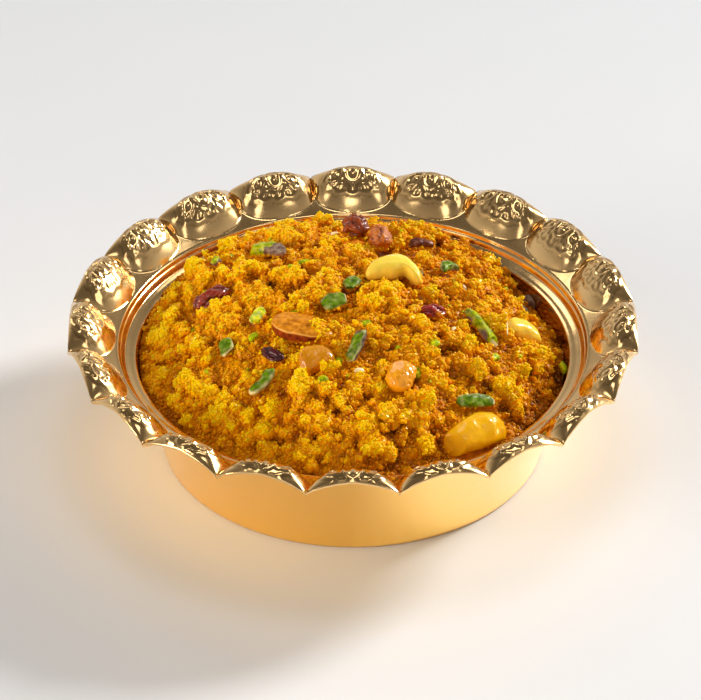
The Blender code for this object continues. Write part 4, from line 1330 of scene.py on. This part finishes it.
class HALWA_OT_almond(bpy.types.Operator):
    """Make the half almond: a blunt oval, its cut face up, ribbed brown skin round its edge"""

    bl_idname = "halwa.almond"
    bl_label = "Half almond"

    def execute(self, context):
        material = skinned_nut("split_almond", ("#AC5E00", "#F09C24"), ("#5A1A06", "#A8481A"),
                               "#F4BC5C", gloss=0.32)
        for row in ALMONDS:
            length, width, thickness = row[7:]
            along, around = spine_grid(48, 72)
            across = 2.0 * along - 1.0
            full = blunt(across, 2.6, 0.55) * (1.14 - 0.3 * along)
            up = np.sin(around)
            flat = np.where(up < 0.0, up, 0.36 * up)
            wavy = 9.0 * across + 0.8 * np.sin(5.0 * around)
            ribs = np.clip(-up, 0.0, 1.0) * (0.5 + 0.5 * np.sin(wavy))
            x = across * length * 0.5
            y = 0.5 * width * full * np.cos(around) * (1.0 - 0.05 * ribs)
            z = thickness * full * 0.95 * flat * (1.0 - 0.06 * ribs)
            rough = 0.35 * local_noise(x, y, z, 3.5, 2.0) + 0.16 * local_noise(x, y, z, 1.2, 4.0)
            z += rough * full
            skin = np.clip(0.45 - 2.4 * up, 0.0, 1.0)
            edge = np.exp(-((up - 0.12) / 0.1) ** 2) * 0.8
            topping(row, x, y, z, material, "almond", skin=skin, edge=edge)
        return {"FINISHED"}


class HALWA_OT_raisins(bpy.types.Operator):
    """Make the raisins, with folds that run along them"""

    bl_idname = "halwa.raisins"
    bl_label = "Raisins"

    def execute(self, context):
        tones = {"raisin_1": ("#4E1200", "#A44608", 0.4), "raisin_2": ("#842C00", "#DC8020", 0.7),
                 "raisin_3": ("#420600", "#A43416", 1.0), "raisin_4": ("#5A0600", "#B02008", 0.6),
                 "raisin_5": ("#140002", "#5C0E1C", 0.3), "raisin_6": ("#C06A00", "#FFB014", 0.7)}
        for seed, row in enumerate(RAISINS):
            length, width, thickness, wrinkles = row[7:]
            along, around = spine_grid(56, 84)
            across = 2.0 * along - 1.0
            full = blunt(across, 2.6, 0.5)
            wander = 1.6 * np.sin(2.6 * across + seed)
            folds = 1.0 - np.abs(np.sin(0.5 * wrinkles * around + wander)) ** 0.7
            fine = 1.0 - np.abs(np.sin(1.5 * wrinkles * around - 2.0 * wander + 1.1 * seed))
            depth = 0.3 * folds + 0.12 * fine
            if row[0] == "raisin_6":
                depth = depth * 0.3
            swell = full * (1.1 - depth)
            x = across * length * 0.5
            y = 0.5 * width * swell * np.cos(around)
            z = 0.5 * thickness * swell * np.sin(around)
            dent = bumpy((x, y, z), full, (0.16, 2.8, seed + 11.0), (0.07, 1.1, seed + 15.0))
            x, y, z = pared(x, y * dent, z * dent, seed + 21, 2, 1, 0.88)
            material = raisin_skin("swollen_" + row[0], *tones[row[0]])
            # The shade mark is painted shade: darker down the folds and lighter on the ridges.
            topping(row, x, y, z, material, "raisin", shade=0.6 - depth * 1.5)
        return {"FINISHED"}


def sliver(row, seed):
    """A knife-cut sliver: squarish, bumpy, bent, with flat cut sides and slanting ends."""
    length, width, thickness, bend = row[7:]
    along, around = spine_grid(40, 36)
    across = 2.0 * along - 1.0
    full = blunt(across, 3.2, 0.4)
    side, up = (np.sign(wave) * np.abs(wave) ** 0.75 for wave in (np.cos(around), np.sin(around)))
    curve = bend * width * (1.0 - across ** 2)
    x = across * length * 0.52
    y = 0.54 * width * full * side
    z = 0.54 * thickness * full * up * (1.0 - 0.2 * side)
    dent = bumpy((x, y, z), full, (0.2, 1.9, seed), (0.1, 0.8, seed + 7.0))
    x, y, z = pared(x, y * dent, z * dent, int(seed), 4, 3, 0.84)
    return x, curve + y, z, across, side, up


class HALWA_OT_pistachios(bpy.types.Operator):
    """Make the larger pistachio slivers, green inside, purple-brown where the skin is left"""

    bl_idname = "halwa.pistachios"
    bl_label = "Pistachio slivers"

    def execute(self, context):
        brown = ("#5A4034", "#A8907C")
        bright = skinned_nut("cut_pistachio_bright", ("#5E7C00", "#C8CE00"), brown, "#F2E0A4")
        dark = skinned_nut("cut_pistachio_dark", ("#2E5000", "#749400"), ("#3A2418", "#8A7260"),
                           "#EFE0A0")
        fresh = skinned_nut("cut_pistachio_fresh", ("#86A000", "#F0F000"), brown, "#F6F0B0")
        bare_skin = skinned_nut("skinned_pistachio", ("#4A1C0C", "#8A4A20"), ("#34100A", "#84442A"),
                                "#B07850")
        kinds = {name: dark for name in ("pistachio_2", "pistachio_3", "pistachio_4", "pistachio_6",
                                         "pistachio_8", "pistachio_10", "pistachio_11")}
        kinds.update({"pistachio_7": bare_skin, "pistachio_9": fresh})
        cover = {"pistachio_1": 0.3, "pistachio_3": 0.55, "pistachio_7": 1.0}
        for seed, row in enumerate(PISTACHIOS):
            x, y, z, across, side, up = sliver(row, seed + 31.0)
            patch = local_noise(x, y, z, 3.6, seed + 61.0)
            skin = np.clip(cover.get(row[0], 0.12) + 0.7 * patch - 0.45 * up, 0.0, 1.0)
            if row[0] == "pistachio_5":
                skin = np.clip((across - 0.1) * 4.0 + 2.0 * patch, 0.0, 1.0)
            rim = np.clip((across - 0.78) * 6.0, 0.0, 1.0) + np.clip(side - 0.7, 0.0, 1.0) * 1.5
            edge = np.clip(rim + 0.5 * local_noise(x, y, z, 1.6, seed + 71.0), 0.0, 1.0) * (up > -0.4)
            topping(row, x, y, z, kinds.get(row[0], bright), "pistachio", skin=skin, edge=edge)
        return {"FINISHED"}


class HALWA_OT_chopped(bpy.types.Operator):
    """Make the small chopped pistachio that lies on the heap"""

    bl_idname = "halwa.chopped"
    bl_label = "Chopped pistachio"

    def execute(self, context):
        green = skinned_nut("chopped_pistachio_nut", ("#6E8A00", "#D8DC00"), ("#5A4034", "#A8907C"),
                            "#F2E0A4")
        cream = skinned_nut("almond_sliver", ("#F0CC80", "#FBEEC8"), ("#A8481A", "#C87838"),
                            "#FFF6E0")
        chance = random.Random(8)
        bits = list(CHOPPED)
        for _ in range(CHANCE_BITS):
            angle, out = chance.uniform(0.0, math.tau), CHANCE_REACH * math.sqrt(chance.random())
            length = chance.uniform(0.9, 2.2)
            bits.append((out * math.cos(angle), out * math.sin(angle), chance.uniform(0, 360),
                         length, length * 0.7, 0.0))
        tree = surface_tree()
        lay_bits("chopped_pistachio", bits, green, tree, 91.0)
        bits = [(*row, 0.0) for row in PALE_SLIVERS]
        lay_bits("almond_slivers", bits, cream, tree, 191.0)
        return {"FINISHED"}


def lay_bits(name, bits, material, tree, seed):
    """Small slivers laid on the finished surface, joined to one piece."""
    points, faces, skins = [], [], []
    start = 0
    for index, (x, y, heading, length, width, cover) in enumerate(bits):
        hit = tree.ray_cast(Vector((x, y, DROP_HEIGHT)) * MM, Vector((0.0, 0.0, -1.0)))[0]
        ground = hit.z / MM if hit else float(dome_height(x, y))
        lift = ground - float(dome_height(x, y)) + width * 0.25
        row = ("bit", x, y, heading, 12, 0, lift, length, width, width * 0.75, 0.15)
        grids = sliver(row, index + seed)
        own_x, own_y, own_z, up = (grids[i][::3, ::2] for i in (0, 1, 2, 5))
        points.append(seated(row, own_x, own_y, own_z))
        faces += [tuple(start + i for i in face) for face in grid_faces(*up.shape)]
        skins.append(np.clip(cover - 0.3 * up, 0.0, 1.0).ravel())
        start += up.size
    points = keep_inside_bowl(np.concatenate(points), LOOSE_GAP)
    item = make_piece(name, points, faces, material, sharp=50)
    store(item.data, "skin", np.concatenate(skins))
    store(item.data, "edge", np.zeros(start))


def surface_tree():
    """A search tree over the finished heap and its crumbs, to lay small things on them."""
    points, faces = [], []
    for name in ("halwa_mass", "small_crumbs", "almond_half_piece"):
        mesh = bpy.data.objects[name].data
        faces += [tuple(len(points) + i for i in face.vertices) for face in mesh.polygons]
        points += [corner.co.copy() for corner in mesh.vertices]
    return BVHTree.FromPolygons(points, faces)


# ---------------------------------------------------------------- the stage
# Lights whose power follows the key light's: name, place, aim, size, share of the key light's power,
# colour, and the kinds of rays that don't see it.
LIGHTS = (
    ("key_light", (2.0, 1.27, 1.3), (0.0, 0.0, 0.03), 0.6, 1.0, "#FFFEFC", ()),
    ("halo_light", (2.08, 1.22, 1.3), (0.0, 0.0, 0.03), 1.5, 0.17, "#FFFFFF", ("diffuse",)),
    ("left_glow", (-0.135, -0.03, 0.1), (-0.04, -0.01, 0.06), 0.08, 0.0002, "#FFF0D8",
     ("glossy", "camera")),
    ("front_glow", (0.01, -0.18, 0.09), (-0.035, -0.09, 0.0), 0.1, 0.0002, "#FFE8C8",
     ("glossy", "camera")),
    ("right_glow", (0.15, -0.11, 0.1), (0.07, -0.09, 0.0), 0.08, 0.0001, "#FFFFFF",
     ("glossy", "camera")),
    ("fill_light", (-0.9, -1.1, 1.3), (0.0, 0.0, 0.02), 0.9, 0.05, "#FFFFFF", ("glossy",)),
    *(("low_card", (0.085, -0.07, 0.001 + 0.0003 * step), (0.085, -0.07, 0.1), 2.0 * radius,
       0.0085 * radius ** 2, "#FFFFFF", ("diffuse", "camera"))
      for step, radius in ((step, 0.085 - 0.0075 * step) for step in range(5))),
    ("side_light", (-1.3, -0.55, 0.3), (0.0, 0.0, 0.02), 0.7, 0.175, "#FFF2E0", ()),
    ("top_light", (0.1, 0.2, 1.7), (0.0, 0.0, 0.0), 0.7, 0.05, "#FFFFFF", ()),
)
# Cards that the metal and the glaze mirror, with a power of their own in watts: the same columns.
CARDS = (
    ("back_card", (-0.45, 1.0, 0.95), (0.0, 0.0, 0.04), 0.34, 0.7, "#FFFFFF", ()),
    *((side + "_glint_card", (math.cos(turn), math.sin(turn), 1.05), (0.0, 0.06, 0.045), 0.32, 0.6,
       "#FFFFFF", ("diffuse", "camera"))
      for side, turn in (("left", math.radians(-150.0)), ("middle", math.radians(-92.0)),
                         ("right", math.radians(-35.0)))),
    ("high_card", (0.45, 0.85, 1.2), (0.0, 0.0, 0.04), 0.3, 0.45, "#FFFFFF", ()),
)
CAMERA_PLACE = (-0.00083, -1.23006, 0.87140)
CAMERA_TILT = 55.83
TABLE_HALF = 3.0
TABLE_GAP = 0.0001


def area_light(name, place, aim, size, power, colour, unseen_by):
    light = bpy.data.lights.new(name, "AREA")
    light.shape = "DISK"
    light.size = size
    light.energy = power
    light.color = linear(colour)
    item = bpy.data.objects.new(name, light)
    item.location = place
    item.rotation_euler = (Vector(aim) - Vector(place)).to_track_quat("-Z", "Y").to_euler()
    for ray in unseen_by:
        setattr(item, f"visible_{ray}", False)
    bpy.context.scene.collection.objects.link(item)


def studio_world():
    """A pale room to the horizon under a darker ceiling, which gives the metal its contrast."""
    world = bpy.data.worlds.new("studio")
    world.use_nodes = True
    tree = world.node_tree
    coords = add_node(tree, "ShaderNodeTexCoord")
    parts = add_node(tree, "ShaderNodeSeparateXYZ", {0: coords.outputs["Generated"]})
    colour = add_node(tree, "ShaderNodeValToRGB", {"Fac": parts.outputs["Z"]},
                      stops=((0.0, "#F2F1F0"), (1.0, "#6C6864"), (0.25, "#E4E2E0"), (0.5, "#AAA6A2"),
                             (0.75, "#76726E")))
    set_inputs(tree, tree.nodes["Background"], {"Color": colour.outputs["Color"], "Strength": 0.8})
    bpy.context.scene.world = world


class HALWA_OT_stage(bpy.types.Operator):
    """Make the table, the studio light and the camera"""

    bl_idname = "halwa.stage"
    bl_label = "Stage"

    def execute(self, context):
        settings = context.scene.halwa_stage
        mesh = bpy.data.meshes.new("table_top")
        corners = [(x * TABLE_HALF, y * TABLE_HALF, -TABLE_GAP)
                   for x, y in ((-1, -1), (1, -1), (1, 1), (-1, 1))]
        mesh.from_pydata(corners, [], [(0, 1, 2, 3)])
        mesh.materials.append(matte_table(settings))
        table = bpy.data.objects.new("table_top", mesh)
        context.scene.collection.objects.link(table)
        studio_world()
        for rows, watts in ((LIGHTS, settings.key_power), (CARDS, 1.0)):
            for name, place, aim, size, power, colour, unseen_by in rows:
                area_light(name, place, aim, size, watts * power, colour, unseen_by)
        lens = bpy.data.cameras.new("camera")
        lens.lens = settings.lens
        camera = bpy.data.objects.new("camera", lens)
        camera.location = CAMERA_PLACE
        camera.rotation_euler = (math.radians(CAMERA_TILT), 0.0, 0.0)
        context.scene.collection.objects.link(camera)
        context.scene.camera = camera
        context.scene.view_settings.view_transform = "Standard"
        return {"FINISHED"}


class HALWA_PT_panel(bpy.types.Panel):
    """Lists the halwa's pieces in the sidebar"""

    bl_idname = "HALWA_PT_panel"
    bl_label = "Moong Dal Halwa"
    bl_space_type = "VIEW_3D"
    bl_region_type = "UI"
    bl_category = "Halwa"

    def draw(self, context):
        for name in ("halwa_bowl", "halwa_food", "halwa_stage"):
            box = self.layout.box()
            group = getattr(context.scene, name)
            for key in group.__annotations__:
                box.prop(group, key)
        for piece in PIECES:
            self.layout.operator(piece.bl_idname)


PIECES = (HALWA_OT_bowl, HALWA_OT_heap, HALWA_OT_cashews, HALWA_OT_almond, HALWA_OT_raisins,
          HALWA_OT_pistachios, HALWA_OT_grains, HALWA_OT_chopped, HALWA_OT_stage)
GROUPS = {"halwa_bowl": BowlSettings, "halwa_food": HalwaSettings, "halwa_stage": StageSettings}


def register():
    for group in GROUPS.values():
        bpy.utils.register_class(group)
    for name, group in GROUPS.items():
        setattr(bpy.types.Scene, name, bpy.props.PointerProperty(type=group))
    for piece in (*PIECES, HALWA_PT_panel):
        bpy.utils.register_class(piece)


def unregister():
    for piece in (*PIECES, HALWA_PT_panel):
        bpy.utils.unregister_class(piece)
    for name, group in GROUPS.items():
        delattr(bpy.types.Scene, name)
        bpy.utils.unregister_class(group)


def main():
    register()
    bpy.ops.halwa.bowl()
    bpy.ops.halwa.heap()
    bpy.ops.halwa.cashews()
    bpy.ops.halwa.almond()
    bpy.ops.halwa.raisins()
    bpy.ops.halwa.pistachios()
    bpy.ops.halwa.grains()
    bpy.ops.halwa.chopped()
    bpy.ops.halwa.stage()


if __name__ == "__main__":
    main()
